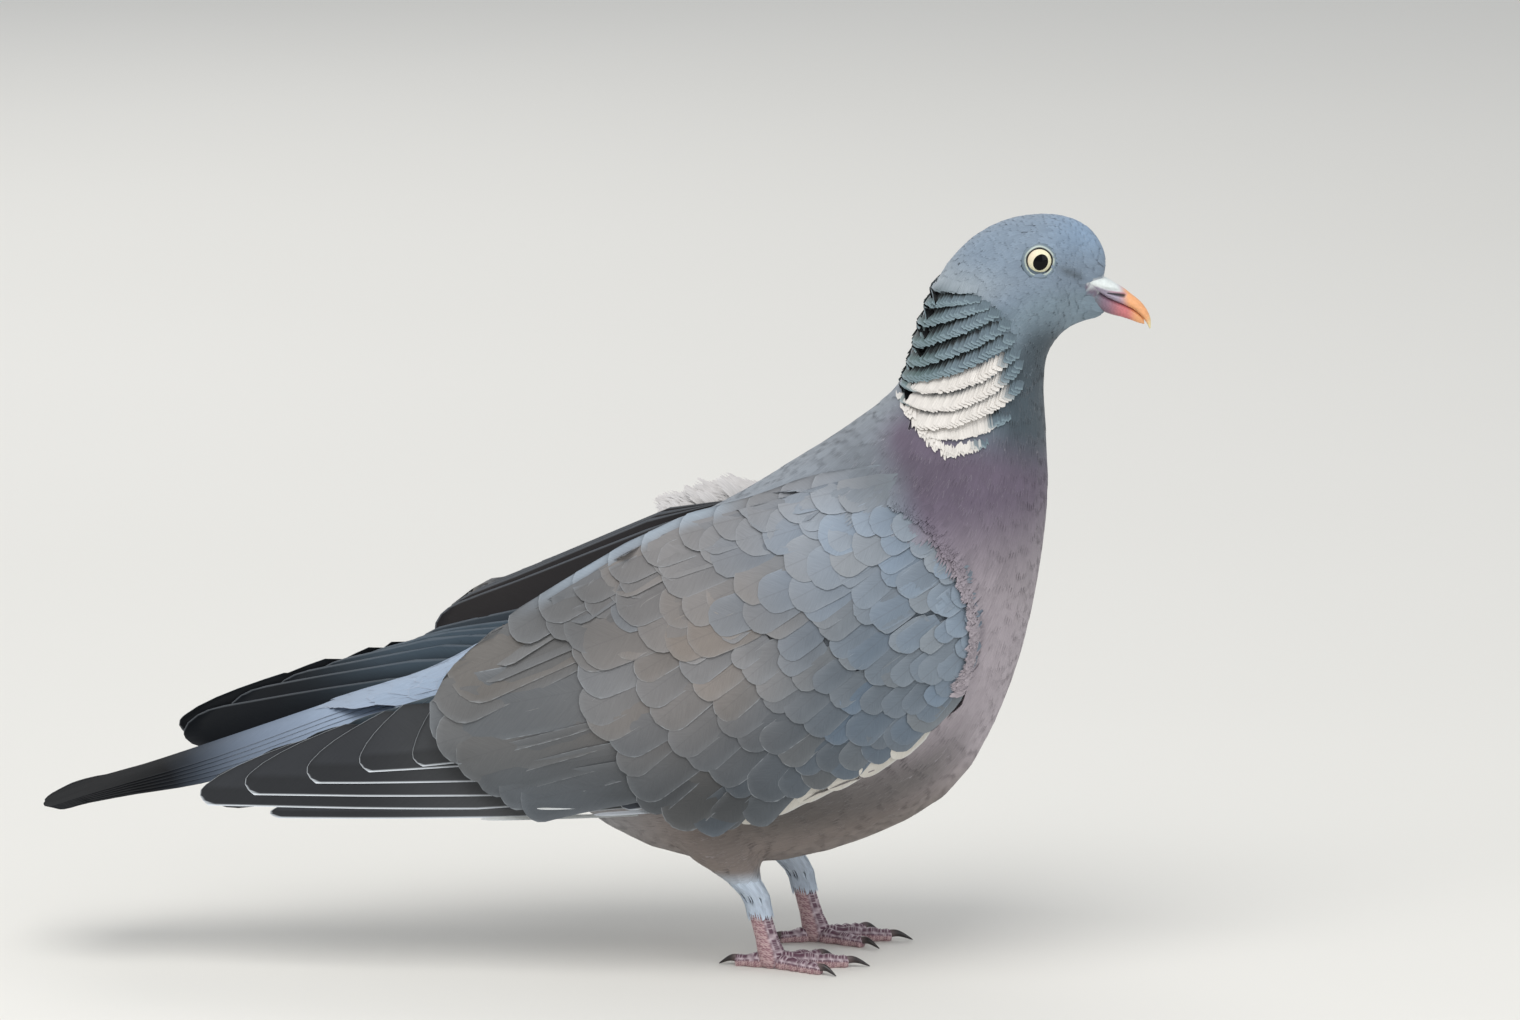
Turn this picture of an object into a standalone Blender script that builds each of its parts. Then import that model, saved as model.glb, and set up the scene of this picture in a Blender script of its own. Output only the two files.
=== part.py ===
"""A standing adult common wood pigeon, life size, as closed solids in metres.

+X runs from the tail to the bill, -Y is the bird's right side, +Z is up and
the feet stand on Z = 0. Every outline below is written in millimetres.
"""

import bmesh
import bpy
import numpy as np
from mathutils import Matrix, Vector

MM = 0.001
GAP = 0.35
HALF_GAP = GAP / 2

# ---------------------------------------------------------------- sizes, mm
BODY_SEGMENTS = 24
HEAD_RINGS = 15
NECK_RINGS = 9
TRUNK_RINGS = 22
HEAD_END = 8.0
NECK_END = 12.4

EYE_PLACE = (140.7, 8.35, 226.5)
EYE_RADIUS = 6.3
EYE_SEGMENTS = 16
EYE_RINGS = 8

BILL_SEGMENTS = 12
BILL_RINGS = 10

LEFT_WING_REACH = 9.0
WING_COLUMNS = 16
WING_ROWS = 8
WING_DEPTH = 11.0
TERTIAL_CUT_X = 10.0
TERTIAL_DEPTH = 3.2
TERTIAL_COLUMNS = 9
PRIMARY_DEPTH = 2.8
PRIMARY_COLUMNS = 13
PRIMARY_ROWS = 5

TAIL_SEGMENTS = 20
TAIL_RINGS = 14
TAIL_ARCH = 1.2

FOOT_SEGMENTS = 10
LEG_SEGMENTS = 12
FOOT_PLACE = {"right": (56.3, -20.0), "left": (70.5, 20.0)}
PAD_RADIUS = 3.7
TOE_START = 5.2
# toe: heading from straight ahead, length, middle thickness, joints, claw
TOES = {
    "middle": (0.0, 24.5, 2.55, 3, 7.2),
    "inner": (34.0, 18.5, 2.35, 2, 6.4),
    "outer": (-36.0, 19.5, 2.25, 4, 6.0),
    "hind": (166.0, 12.0, 2.25, 1, 5.8),
}

# Body sections from the bill root to the tail root. Each row holds the place
# along the body, the upper point x z, the lower point x z, the half width,
# the squareness and how much wider the upper half is.
BODY = (
    (0.0, 162.0, 219.8, 158.6, 206.8, 4.4, 2.0, 0.10),
    (1.0, 162.6, 224.6, 155.6, 205.6, 7.4, 2.0, 0.12),
    (2.0, 160.6, 230.4, 152.3, 204.4, 10.2, 2.0, 0.14),
    (3.0, 155.6, 236.3, 149.2, 202.2, 12.4, 2.0, 0.15),
    (4.0, 147.5, 239.3, 146.6, 199.6, 14.0, 2.05, 0.15),
    (5.0, 138.0, 239.4, 144.6, 196.6, 14.8, 2.1, 0.12),
    (6.0, 128.5, 237.2, 143.4, 193.4, 15.3, 2.1, 0.08),
    (7.0, 119.2, 231.8, 142.9, 190.2, 16.0, 2.1, 0.04),
    (8.0, 111.6, 223.6, 142.7, 187.0, 17.2, 2.1, 0.02),
    (10.0, 103.0, 204.5, 142.8, 179.6, 21.2, 2.1, 0.0),
    (12.0, 96.6, 185.2, 143.5, 168.0, 25.8, 2.1, 0.0),
    (14.0, 81.0, 171.7, 143.9, 147.0, 32.4, 2.15, 0.0),
    (16.0, 65.0, 161.3, 140.2, 118.0, 38.8, 2.2, 0.0),
    (18.0, 49.0, 151.4, 132.0, 87.0, 43.2, 2.25, -0.02),
    (20.0, 33.0, 142.6, 115.5, 56.0, 45.0, 2.3, -0.04),
    (22.0, 14.0, 132.8, 85.0, 38.4, 43.6, 2.3, -0.02),
    (24.0, -8.0, 120.0, 50.0, 30.8, 38.0, 2.25, 0.0),
    (26.0, -30.0, 105.8, 14.0, 37.6, 29.8, 2.2, 0.0),
    (28.0, -50.0, 94.2, -18.5, 60.0, 21.4, 2.2, 0.0),
    (29.0, -58.0, 90.8, -33.0, 69.0, 18.4, 2.3, 0.0),
)

# Tail sections: place, upper x z, lower x z, half width.
TAIL = (
    (0.0, -58.0, 90.8, -33.0, 69.0, 18.4),
    (1.0, -70.0, 86.7, -52.0, 73.6, 18.6),
    (2.0, -84.0, 81.9, -76.0, 73.8, 19.2),
    (3.0, -104.0, 75.0, -101.5, 70.4, 20.6),
    (4.0, -130.0, 66.1, -129.2, 63.4, 22.4),
    (5.0, -155.0, 57.4, -154.6, 55.5, 23.4),
    (6.0, -167.0, 53.2, -166.7, 51.6, 21.6),
    (7.0, -174.0, 50.7, -173.8, 49.4, 14.0),
    (8.0, -176.4, 49.9, -176.3, 48.9, 6.0),
)

# Folded wing from the bend to the tip of the tertials: x, upper edge z,
# lower edge z, distance of the two edges from the middle, bulge between them.
WING = (
    (-51.0, 88.4, 86.2, 34.2, 34.8, 0.6),
    (-47.0, 97.0, 79.0, 32.4, 35.6, 2.6),
    (-40.0, 104.2, 72.6, 30.2, 36.6, 5.0),
    (-24.0, 117.2, 63.4, 28.0, 38.2, 9.2),
    (-8.0, 127.2, 62.6, 27.0, 39.4, 12.0),
    (10.0, 138.0, 58.0, 26.4, 40.0, 14.6),
    (30.0, 147.6, 49.6, 26.4, 40.6, 16.6),
    (48.0, 153.4, 50.4, 27.6, 41.2, 17.4),
    (70.0, 156.4, 59.2, 29.6, 42.2, 17.2),
    (90.0, 156.8, 67.8, 31.6, 42.6, 14.8),
    (105.0, 151.2, 77.2, 34.4, 42.4, 11.0),
    (113.0, 141.6, 85.0, 37.2, 41.8, 7.4),
    (118.6, 127.0, 94.0, 39.8, 41.4, 3.4),
    (121.3, 113.6, 109.4, 41.4, 41.4, 0.8),
)

# Long wing feathers: x, upper edge z, lower edge z, and the distances of the
# upper and the lower edge from the middle.
PRIMARIES = (
    (-124.3, 57.6, 55.2, 26.6, 27.4),
    (-120.0, 59.2, 54.8, 26.2, 28.2),
    (-110.0, 62.2, 54.2, 25.6, 29.6),
    (-91.0, 67.0, 53.4, 25.4, 32.2),
    (-74.0, 71.4, 52.8, 26.0, 34.2),
    (-58.0, 76.0, 52.4, 27.4, 35.4),
    (-44.0, 80.0, 51.9, 29.4, 36.0),
    (-20.0, 80.0, 51.4, 32.0, 36.6),
    (-6.0, 74.0, 51.2, 33.4, 36.8),
)

# How far the left wing is carried above the right one: x, lift.
LEFT_WING_LIFT = (
    (-134.0, 13.0),
    (-90.0, 12.4),
    (-51.0, 10.4),
    (-24.0, 4.4),
    (10.0, -2.2),
    (40.0, -6.2),
    (75.0, -4.6),
    (122.0, 0.0),
)

# Upper bill from root to hooked tip: top x z, bottom x z, half width.
UPPER_BILL = (
    (0.0, 158.0, 219.2, 156.0, 213.6, 3.6),
    (1.0, 162.4, 219.7, 160.0, 213.7, 4.0),
    (2.0, 166.0, 218.3, 163.4, 212.0, 3.9),
    (3.0, 169.2, 215.3, 166.6, 210.6, 3.4),
    (4.0, 172.4, 212.8, 169.8, 209.4, 2.9),
    (5.0, 175.0, 210.0, 172.4, 207.8, 2.3),
    (6.0, 176.4, 206.6, 174.5, 205.6, 1.5),
    (7.0, 176.5, 203.2, 175.9, 203.0, 0.5),
)

# Lower bill: top x z, bottom x z, half width.
LOWER_BILL = (
    (0.0, 156.2, 213.0, 156.6, 207.4, 3.4),
    (1.0, 161.2, 212.5, 161.6, 206.8, 3.3),
    (2.0, 166.0, 210.3, 166.4, 206.2, 2.8),
    (3.0, 170.0, 208.7, 170.2, 205.1, 2.2),
    (4.0, 172.4, 207.2, 172.6, 204.5, 1.7),
    (5.0, 174.0, 205.4, 174.0, 204.3, 0.8),
)

# Feathered shank: centre x z behind the foot, half depth, half width.
SHANK = (
    (0.0, -19.5, 50.0, 16.5, 11.5),
    (1.0, -16.0, 38.0, 13.0, 10.4),
    (2.0, -10.5, 30.0, 6.8, 6.6),
    (3.0, -6.5, 24.6, 4.6, 4.6),
    (4.0, -4.6, 20.6, 3.9, 3.9),
)

# Bare shank below it: centre x z behind the foot, half depth, half width.
TARSUS = (
    (0.0, -4.4, 20.2, 3.0, 2.7),
    (1.0, -3.2, 15.0, 2.7, 2.4),
    (2.0, -1.4, 9.4, 2.8, 2.6),
    (3.0, 0.0, 5.6, 3.7, 3.5),
)

# ------------------------------------------------------------- materials
COLOURS = {
    "plumage_head": ((0.17, 0.21, 0.27), 0.80),
    "plumage_neck": ((0.42, 0.44, 0.42), 0.78),
    "plumage_body": ((0.34, 0.27, 0.29), 0.85),
    "plumage_wing": ((0.22, 0.23, 0.25), 0.80),
    "plumage_flight": ((0.045, 0.05, 0.06), 0.65),
    "plumage_tail": ((0.12, 0.15, 0.20), 0.70),
    "plumage_shank": ((0.50, 0.54, 0.60), 0.88),
    "bill_horn": ((0.78, 0.42, 0.24), 0.40),
    "eye": ((0.80, 0.74, 0.48), 0.12),
    "foot_skin": ((0.34, 0.13, 0.18), 0.60),
    "claw_horn": ((0.03, 0.025, 0.025), 0.35),
}


def make_material(name):
    """A plain surface of one colour for one kind of covering."""
    colour, roughness = COLOURS[name]
    material = bpy.data.materials.new(name)
    material.use_nodes = True
    shader = material.node_tree.nodes["Principled BSDF"]
    shader.inputs["Base Color"].default_value = (*colour, 1.0)
    shader.inputs["Roughness"].default_value = roughness
    shader.inputs["Metallic"].default_value = 0.0
    return material


# ---------------------------------------------------------------- curves
def smooth(table, place):
    """Row values at a place between the rows, on one smooth curve."""
    rows = np.array(table, float)
    knots = rows[:, 0]
    values = rows[:, 1:]
    steps = np.diff(knots)[:, None]
    slopes = np.diff(values, axis=0) / steps
    tangents = np.zeros_like(values)
    tangents[0] = slopes[0]
    tangents[-1] = slopes[-1]
    tangents[1:-1] = (slopes[:-1] * steps[1:] + slopes[1:] * steps[:-1]) / (
        steps[1:] + steps[:-1]
    )
    index = int(np.clip(np.searchsorted(knots, place) - 1, 0, len(knots) - 2))
    width = knots[index + 1] - knots[index]
    part = np.clip((place - knots[index]) / width, 0.0, 1.0)
    square, cube = part * part, part**3
    return (
        (2 * cube - 3 * square + 1) * values[index]
        + (cube - 2 * square + part) * width * tangents[index]
        + (3 * square - 2 * cube) * values[index + 1]
        + (cube - square) * width * tangents[index + 1]
    )


def rounded(angles, squareness):
    """Cosine and sine pushed outwards to a squarer oval."""
    up = np.cos(angles)
    side = np.sin(angles)
    power = 2.0 / squareness
    return (
        np.sign(up) * np.abs(up) ** power,
        np.sign(side) * np.abs(side) ** power,
    )


def section(upper, lower, half_width, squareness, skew, count, grow=0.0):
    """One closed ring through an upper and a lower point of the middle plane."""
    upper = np.array((upper[0], 0.0, upper[1]))
    lower = np.array((lower[0], 0.0, lower[1]))
    along = (upper - lower) / 2
    along *= 1.0 + grow / np.linalg.norm(along)
    angles = np.arange(count) * 2 * np.pi / count
    up, side = rounded(angles, squareness)
    width = (half_width + grow) * side * (1.0 + skew * up)
    ring = (upper + lower) / 2 + up[:, None] * along
    ring[:, 1] += width
    return ring


def body_ring(place, grow=0.0):
    """Ring of head, neck or trunk at a place along the body."""
    row = smooth(BODY, place)
    return section(
        row[0:2], row[2:4], row[4], row[5], row[6], BODY_SEGMENTS, grow
    )


# ---------------------------------------------------------------- solids
def new_object(name, points, faces, material):
    """A mesh object from millimetre points, with faces turned outwards."""
    mesh = bpy.data.meshes.new(name)
    shape = bmesh.new()
    corners = [shape.verts.new(Vector(point) * MM) for point in points]
    for face in faces:
        shape.faces.new([corners[index] for index in face])
    bmesh.ops.recalc_face_normals(shape, faces=shape.faces)
    shape.to_mesh(mesh)
    shape.free()
    for polygon in mesh.polygons:
        polygon.use_smooth = True
    thing = bpy.data.objects.new(name, mesh)
    bpy.context.collection.objects.link(thing)
    if material is not None:
        mesh.materials.append(material)
    return thing


def loft(name, rings, material):
    """A closed solid through rings of equal count, its two ends filled."""
    count = len(rings[0])
    points = [tuple(point) for ring in rings for point in ring]
    faces = []
    for row in range(len(rings) - 1):
        for spot in range(count):
            after = (spot + 1) % count
            low = row * count
            high = low + count
            faces.append((low + spot, low + after, high + after, high + spot))
    for row in (0, len(rings) - 1):
        middle = len(points)
        points.append(tuple(np.mean(rings[row], axis=0)))
        for spot in range(count):
            after = (spot + 1) % count
            faces.append((row * count + spot, row * count + after, middle))
    return new_object(name, points, faces, material)


def slab(name, outer, inner, material):
    """A closed solid between two grids of points joined round their rims."""
    rows, columns = outer.shape[:2]
    points = [tuple(point) for point in outer.reshape(-1, 3)]
    points += [tuple(point) for point in inner.reshape(-1, 3)]
    half = rows * columns
    faces = []
    for row in range(rows - 1):
        for column in range(columns - 1):
            spot = row * columns + column
            quad = (spot, spot + 1, spot + columns + 1, spot + columns)
            faces.append(quad)
            faces.append(tuple(half + index for index in quad))
    rim = [column for column in range(columns)]
    rim += [row * columns + columns - 1 for row in range(1, rows)]
    rim += [half - 1 - column for column in range(1, columns)]
    rim += [row * columns for row in range(rows - 2, 0, -1)]
    for spot, after in zip(rim, rim[1:] + rim[:1]):
        faces.append((spot, after, half + after, half + spot))
    return new_object(name, points, faces, material)


def ball(name, centre, radius, segments, rings, material):
    """A sphere whose poles lie on the left and right."""
    bpy.ops.mesh.primitive_uv_sphere_add(
        segments=segments, ring_count=rings, radius=radius * MM
    )
    thing = bpy.context.object
    thing.name = name
    thing.data.name = name
    thing.data.transform(Matrix.Rotation(np.pi / 2, 4, "X"))
    thing.location = Vector(centre) * MM
    for polygon in thing.data.polygons:
        polygon.use_smooth = True
    if material is not None:
        thing.data.materials.append(material)
    return thing


def make_cutter(thing):
    """Marks a helper that only cuts."""
    thing.hide_render = True
    thing.display_type = "WIRE"
    return thing


def cut(thing, cutter):
    """Takes the cutter's space out of a solid."""
    modifier = thing.modifiers.new("cut by " + cutter.name, "BOOLEAN")
    modifier.operation = "DIFFERENCE"
    modifier.solver = "EXACT"
    modifier.object = cutter


def side_sign(side):
    """+1 on the bird's left, -1 on its right."""
    return 1.0 if side == "left" else -1.0


# ------------------------------------------------------- head, neck, trunk
def make_body(first, last, count, name, material, grow=0.0):
    """One length of the body between two places along it."""
    places = np.linspace(first, last, count)
    return loft(name, [body_ring(place, grow) for place in places], material)


def make_torso(materials):
    """Head, neck and trunk, parted by narrow planar gaps, and eye sockets."""
    head = make_body(
        0.0, HEAD_END - 0.03, HEAD_RINGS, "head", materials["plumage_head"]
    )
    make_body(
        HEAD_END + 0.07, NECK_END - 0.025, NECK_RINGS, "neck",
        materials["plumage_neck"],
    )
    make_body(
        NECK_END + 0.03, 28.9, TRUNK_RINGS, "trunk", materials["plumage_body"]
    )
    for side in ("right", "left"):
        centre = list(EYE_PLACE)
        centre[1] *= side_sign(side)
        socket = make_cutter(
            ball(
                "socket_" + side, centre, EYE_RADIUS + GAP,
                EYE_SEGMENTS, EYE_RINGS, None,
            )
        )
        cut(head, socket)
        ball(
            "eye_" + side, centre, EYE_RADIUS, EYE_SEGMENTS, EYE_RINGS,
            materials["eye"],
        )


def make_body_cutter():
    """The whole body grown by the gap, to seat wings, shanks and bill."""
    whole = make_body(0.0, 29.0, 46, "body_seat", None, GAP)
    return make_cutter(whole)


# ------------------------------------------------------------------ bill
def bill_rings(table, flat_top):
    """Rings of one half of the bill, flatter where the halves close."""
    rings = []
    for place in np.linspace(0.0, table[-1][0], BILL_RINGS):
        row = smooth(table, place)
        ring = section(
            row[0:2], row[2:4], row[4], 2.3, -flat_top * 0.35, BILL_SEGMENTS
        )
        rings.append(ring)
    return rings


def make_bill(materials, seat):
    """Hooked upper bill with its swollen root, and the lower bill."""
    upper = loft("bill_upper", bill_rings(UPPER_BILL, 1.0),
                 materials["bill_horn"])
    lower = loft("bill_lower", bill_rings(LOWER_BILL, -1.0),
                 materials["bill_horn"])
    cut(upper, seat)
    cut(lower, seat)


# ----------------------------------------------------------------- wings
def wing_lift(x, side):
    """The left wing sits lower at the shoulder and higher at its tip."""
    if side == "right":
        return 0.0
    return smooth(LEFT_WING_LIFT, x)[0]


def wing_point(x, across, side, depth):
    """Point of the folded wing from its upper (0) to its lower edge (1)."""
    top, bottom, y_top, y_bottom, bulge = smooth(WING, x)
    swell = 4.0 * across * (1.0 - across)
    y = y_top + (y_bottom - y_top) * across + bulge * swell
    z = top + (bottom - top) * across
    middle = (top + bottom) / 2
    if depth:
        z = middle + (z - middle) * 0.94
        y -= depth
    return (x, side_sign(side) * y, z + wing_lift(x, side))


def wing_grid(first, last, columns, side, depth_at):
    """Grid of wing points between two places along the bird."""
    spread = (1.0 - np.cos(np.linspace(0.0, np.pi, columns))) / 2
    even = np.linspace(0.0, 1.0, columns)
    places = first + (last - first) * (0.6 * even + 0.4 * spread)
    return np.array([
        [
            wing_point(x, across, side, depth_at(x, across))
            for across in np.linspace(0.0, 1.0, WING_ROWS)
        ]
        for x in places
    ])


def wing_depth(x, across):
    """Deep at the shoulder, thinner at the bend and the lower edge."""
    bend = np.clip((121.3 - x) / 30.0, 0.0, 1.0) ** 0.5
    rear = np.clip((x - TERTIAL_CUT_X + 12.0) / 40.0, 0.0, 1.0)
    return 3.6 + (WING_DEPTH - 3.6) * bend * rear * (1.0 - 0.55 * across)


def tertial_depth(x, across):
    """Thins out towards the feather tips, full at the upper edge."""
    rear = np.clip((x + 51.0) / 62.0, 0.0, 1.0)
    return 1.2 + (TERTIAL_DEPTH - 1.2) * rear + 4.5 * rear * (1.0 - across)


def make_wing(side, materials, seat):
    """Covert shield, tertials and folded long feathers of one wing."""
    front = wing_grid(TERTIAL_CUT_X, 121.3, WING_COLUMNS, side,
                      lambda x, across: 0.0)
    inner = wing_grid(TERTIAL_CUT_X, 121.3, WING_COLUMNS, side, wing_depth)
    shield = slab("wing_" + side, front, inner, materials["plumage_wing"])
    cut(shield, seat)
    rear_end = TERTIAL_CUT_X - GAP
    outer = wing_grid(-51.0, rear_end, TERTIAL_COLUMNS, side,
                      lambda x, across: 0.0)
    inner = wing_grid(-51.0, rear_end, TERTIAL_COLUMNS, side, tertial_depth)
    tertials = slab("tertials_" + side, outer, inner,
                    materials["plumage_wing"])
    cut(tertials, seat)
    reach = LEFT_WING_REACH if side == "left" else 0.0
    outer = []
    inner = []
    for x in np.linspace(-124.3, -6.0, PRIMARY_COLUMNS):
        top, bottom, y_top, y_bottom = smooth(PRIMARIES, x)
        stretched = x - reach * np.clip((-6.0 - x) / 118.3, 0.0, 1.0)
        lift = wing_lift(stretched, side)
        depth = 1.0 + (PRIMARY_DEPTH - 1.0) * (x + 124.3) / 118.3
        for target, inset in ((outer, 0.0), (inner, depth)):
            target.append([
                (
                    stretched,
                    side_sign(side)
                    * (y_top + (y_bottom - y_top) * across - inset),
                    top + (bottom - top) * across + lift,
                )
                for across in np.linspace(0.0, 1.0, PRIMARY_ROWS)
            ])
    blade = slab("primaries_" + side, np.array(outer), np.array(inner),
                 materials["plumage_flight"])
    cut(blade, seat)


# ------------------------------------------------------------------ tail
def make_tail(materials):
    """Folded tail, thick at the root and a thin arched blade at the end."""
    rings = []
    for place in np.linspace(0.0, 8.0, TAIL_RINGS):
        row = smooth(TAIL, place)
        square = 2.3 + min(place, 2.0) * 0.35
        ring = section(row[0:2], row[2:4], row[4], square, 0.0, TAIL_SEGMENTS)
        across = ring[:, 1] / 23.4
        ring[:, 2] -= TAIL_ARCH * min(place, 2.0) / 2 * across**2
        rings.append(ring)
    loft("tail", rings, materials["plumage_tail"])


# ------------------------------------------------------------------ legs
def leg_rings(table, side, count):
    """Level rings of a shank that leans back from the foot."""
    foot_x, foot_y = FOOT_PLACE[side]
    angles = np.arange(LEG_SEGMENTS) * 2 * np.pi / LEG_SEGMENTS
    rings = []
    for place in np.linspace(0.0, table[-1][0], count):
        x, z, half_depth, half_width = smooth(table, place)
        ring = np.zeros((LEG_SEGMENTS, 3))
        ring[:, 0] = foot_x + x + half_depth * np.cos(angles)
        ring[:, 1] = foot_y + half_width * np.sin(angles)
        ring[:, 2] = z
        rings.append(ring)
    return rings


def pad_rings(side):
    """The foot pad at the bottom of the bare shank, flat underneath."""
    foot_x, foot_y = FOOT_PLACE[side]
    angles = np.arange(LEG_SEGMENTS) * 2 * np.pi / LEG_SEGMENTS
    rings = []
    for height, share in ((3.2, 1.0), (1.2, 0.92), (0.0, 0.62)):
        ring = np.zeros((LEG_SEGMENTS, 3))
        ring[:, 0] = foot_x + PAD_RADIUS * share * np.cos(angles)
        ring[:, 1] = foot_y + PAD_RADIUS * share * np.sin(angles)
        ring[:, 2] = height
        rings.append(ring)
    return rings


def toe_ring(place, heading, half_width, half_height, z):
    """Ring across a toe, flat where it meets the ground."""
    angles = np.arange(FOOT_SEGMENTS) * 2 * np.pi / FOOT_SEGMENTS
    side = np.array((-np.sin(heading), np.cos(heading)))
    ring = np.zeros((FOOT_SEGMENTS, 3))
    ring[:, :2] = place + np.outer(half_width * np.sin(angles), side)
    ring[:, 2] = np.maximum(z + half_height * np.cos(angles), 0.0)
    return ring


def make_toe(side, toe, materials):
    """A jointed toe with a flat sole, and the claw beyond it."""
    angle, length, thick, joints, claw = TOES[toe]
    heading = np.radians(angle) * -side_sign(side)
    ahead = np.array((np.cos(heading), np.sin(heading)))
    foot = np.array(FOOT_PLACE[side])
    rings = []
    for part in np.linspace(0.0, 1.0, 10):
        reach = TOE_START + (length - TOE_START) * part
        swell = 1.0 + 0.10 * np.cos(2 * np.pi * part * joints)
        taper = 1.0 - 0.22 * part
        start = np.clip(0.50 + part * 3.0, 0.0, 1.0)
        end = np.sqrt(np.clip((1.03 - part) * 9.0, 0.0, 1.0))
        radius = thick * swell * taper * start * end
        centre = 0.84 * thick * taper * (1.0 + 0.06 * (1.0 - part))
        rings.append(
            toe_ring(foot + ahead * reach, heading, radius,
                     radius * 1.02, centre)
        )
    loft(f"toe_{toe}_{side}", rings, materials["foot_skin"])
    rings = []
    for part in np.linspace(0.0, 1.0, 5):
        reach = length + 0.45 + claw * part * (1.0 - 0.08 * part)
        radius = 1.25 * (1.0 - part) ** 0.8 + 0.16
        z = 1.95 + 0.75 * np.sin(np.pi * part) * (1 - part) - 1.35 * part**2
        rings.append(
            toe_ring(foot + ahead * reach, heading, radius * 0.8, radius, z)
        )
    loft(f"claw_{toe}_{side}", rings, materials["claw_horn"])


def make_leg(side, materials, seat):
    """Feathered shank, bare shank with its pad, four toes and their claws."""
    shank = loft("shank_" + side, leg_rings(SHANK, side, 7),
                 materials["plumage_shank"])
    cut(shank, seat)
    rings = leg_rings(TARSUS, side, 6) + pad_rings(side)
    loft("tarsus_" + side, rings, materials["foot_skin"])
    for toe in TOES:
        make_toe(side, toe, materials)


def make_pigeon():
    """The whole bird."""
    for thing in list(bpy.data.objects):
        bpy.data.objects.remove(thing, do_unlink=True)
    materials = {name: make_material(name) for name in COLOURS}
    make_torso(materials)
    seat = make_body_cutter()
    make_bill(materials, seat)
    for side in ("right", "left"):
        make_wing(side, materials, seat)
        make_leg(side, materials, seat)
    make_tail(materials)


make_pigeon()
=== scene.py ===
import math

import bpy
import numpy as np
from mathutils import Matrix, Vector
from mathutils.bvhtree import BVHTree
from mathutils.kdtree import KDTree


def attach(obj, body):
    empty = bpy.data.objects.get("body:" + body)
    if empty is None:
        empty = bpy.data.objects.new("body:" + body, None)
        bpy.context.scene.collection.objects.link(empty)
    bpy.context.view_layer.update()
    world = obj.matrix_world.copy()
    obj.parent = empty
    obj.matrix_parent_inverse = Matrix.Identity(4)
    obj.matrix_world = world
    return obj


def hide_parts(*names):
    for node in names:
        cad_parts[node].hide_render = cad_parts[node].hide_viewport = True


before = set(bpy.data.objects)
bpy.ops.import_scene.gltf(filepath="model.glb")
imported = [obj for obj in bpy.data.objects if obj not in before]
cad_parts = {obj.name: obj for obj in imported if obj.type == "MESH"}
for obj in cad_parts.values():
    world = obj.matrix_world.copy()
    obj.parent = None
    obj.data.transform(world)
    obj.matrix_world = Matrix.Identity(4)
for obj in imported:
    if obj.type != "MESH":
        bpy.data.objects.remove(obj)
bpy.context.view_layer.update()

# ---------------------------------------------------------------------------
# The stand-in museum floor: one wide pale matt board, softly mottled, that
# the bird stands on. It isn't part of the bird.
# ---------------------------------------------------------------------------
def tone(red, green, blue):
    """A paint-chart colour from 0 to 255 as linear light."""
    chart = np.array((red, green, blue), float) / 255
    return np.where(chart <= 0.04045, chart / 12.92, ((chart + 0.055) / 1.055) ** 2.4)


def new_material(name):
    """An empty Principled surface with its node tree."""
    material = bpy.data.materials.new(name)
    material.use_nodes = True
    tree = material.node_tree
    shader = tree.nodes["Principled BSDF"]
    return material, tree, shader


def add_node(tree, kind, **settings):
    """A node of one kind with its settings and input values."""
    node = tree.nodes.new(kind)
    for key, value in settings.items():
        if key in node.inputs:
            node.inputs[key].default_value = value
        else:
            setattr(node, key, value)
    return node


def colour_mix(tree, share, first, second):
    """Mixes two colours by a share from 0 to 1."""
    node = tree.nodes.new("ShaderNodeMix")
    node.data_type = "RGBA"
    node.clamp_factor = True
    for slot, value in ((0, share), (6, first), (7, second)):
        if isinstance(value, (int, float)):
            node.inputs[slot].default_value = value
        elif isinstance(value, (tuple, list, np.ndarray)):
            node.inputs[slot].default_value = (*value[:3], 1.0)
        else:
            tree.links.new(value, node.inputs[slot])
    return node.outputs[2]


bpy.ops.mesh.primitive_plane_add(size=9.0, location=(0.0, 1.0, 0.0))
floor = bpy.context.object
floor.name = "studio_floor"
floor_paint, tree, shader = new_material("pale_floor")
mottle = add_node(tree, "ShaderNodeTexNoise", Scale=9.0, Detail=3.0)
tree.links.new(
    colour_mix(tree, mottle.outputs[0], tone(222, 220, 214), tone(230, 228, 223)),
    shader.inputs["Base Color"],
)
shader.inputs["Roughness"].default_value = 0.9
floor.data.materials.append(floor_paint)

# ---------------------------------------------------------------------------
# Camera and light: a long lens level with the bird's shoulder, looking very
# slightly down on its right side, under a large soft sky-like light.
# ---------------------------------------------------------------------------
CAMERA_TARGET = Vector((0.0525, 0.0, 0.1443))
CAMERA_ELEVATION = math.radians(10.0)
CAMERA_DISTANCE = 3.6
FRAME_WIDTH = 0.4834


def add_object(name, data):
    """Puts a mesh, lamp or camera into the scene as an object."""
    piece = bpy.data.objects.new(name, data)
    bpy.context.collection.objects.link(piece)
    return piece


lens = bpy.data.cameras.new("long_lens")
lens.sensor_width = 36.0
lens.lens = 36.0 * CAMERA_DISTANCE / FRAME_WIDTH
lens.clip_start = 0.1
lens.clip_end = 30.0
camera = add_object("camera", lens)
back = Vector((0.0, -math.cos(CAMERA_ELEVATION), math.sin(CAMERA_ELEVATION)))
camera.location = CAMERA_TARGET + back * CAMERA_DISTANCE
camera.rotation_mode = "QUATERNION"
camera.rotation_quaternion = (-back).to_track_quat("-Z", "Y")
bpy.context.scene.camera = camera


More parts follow.
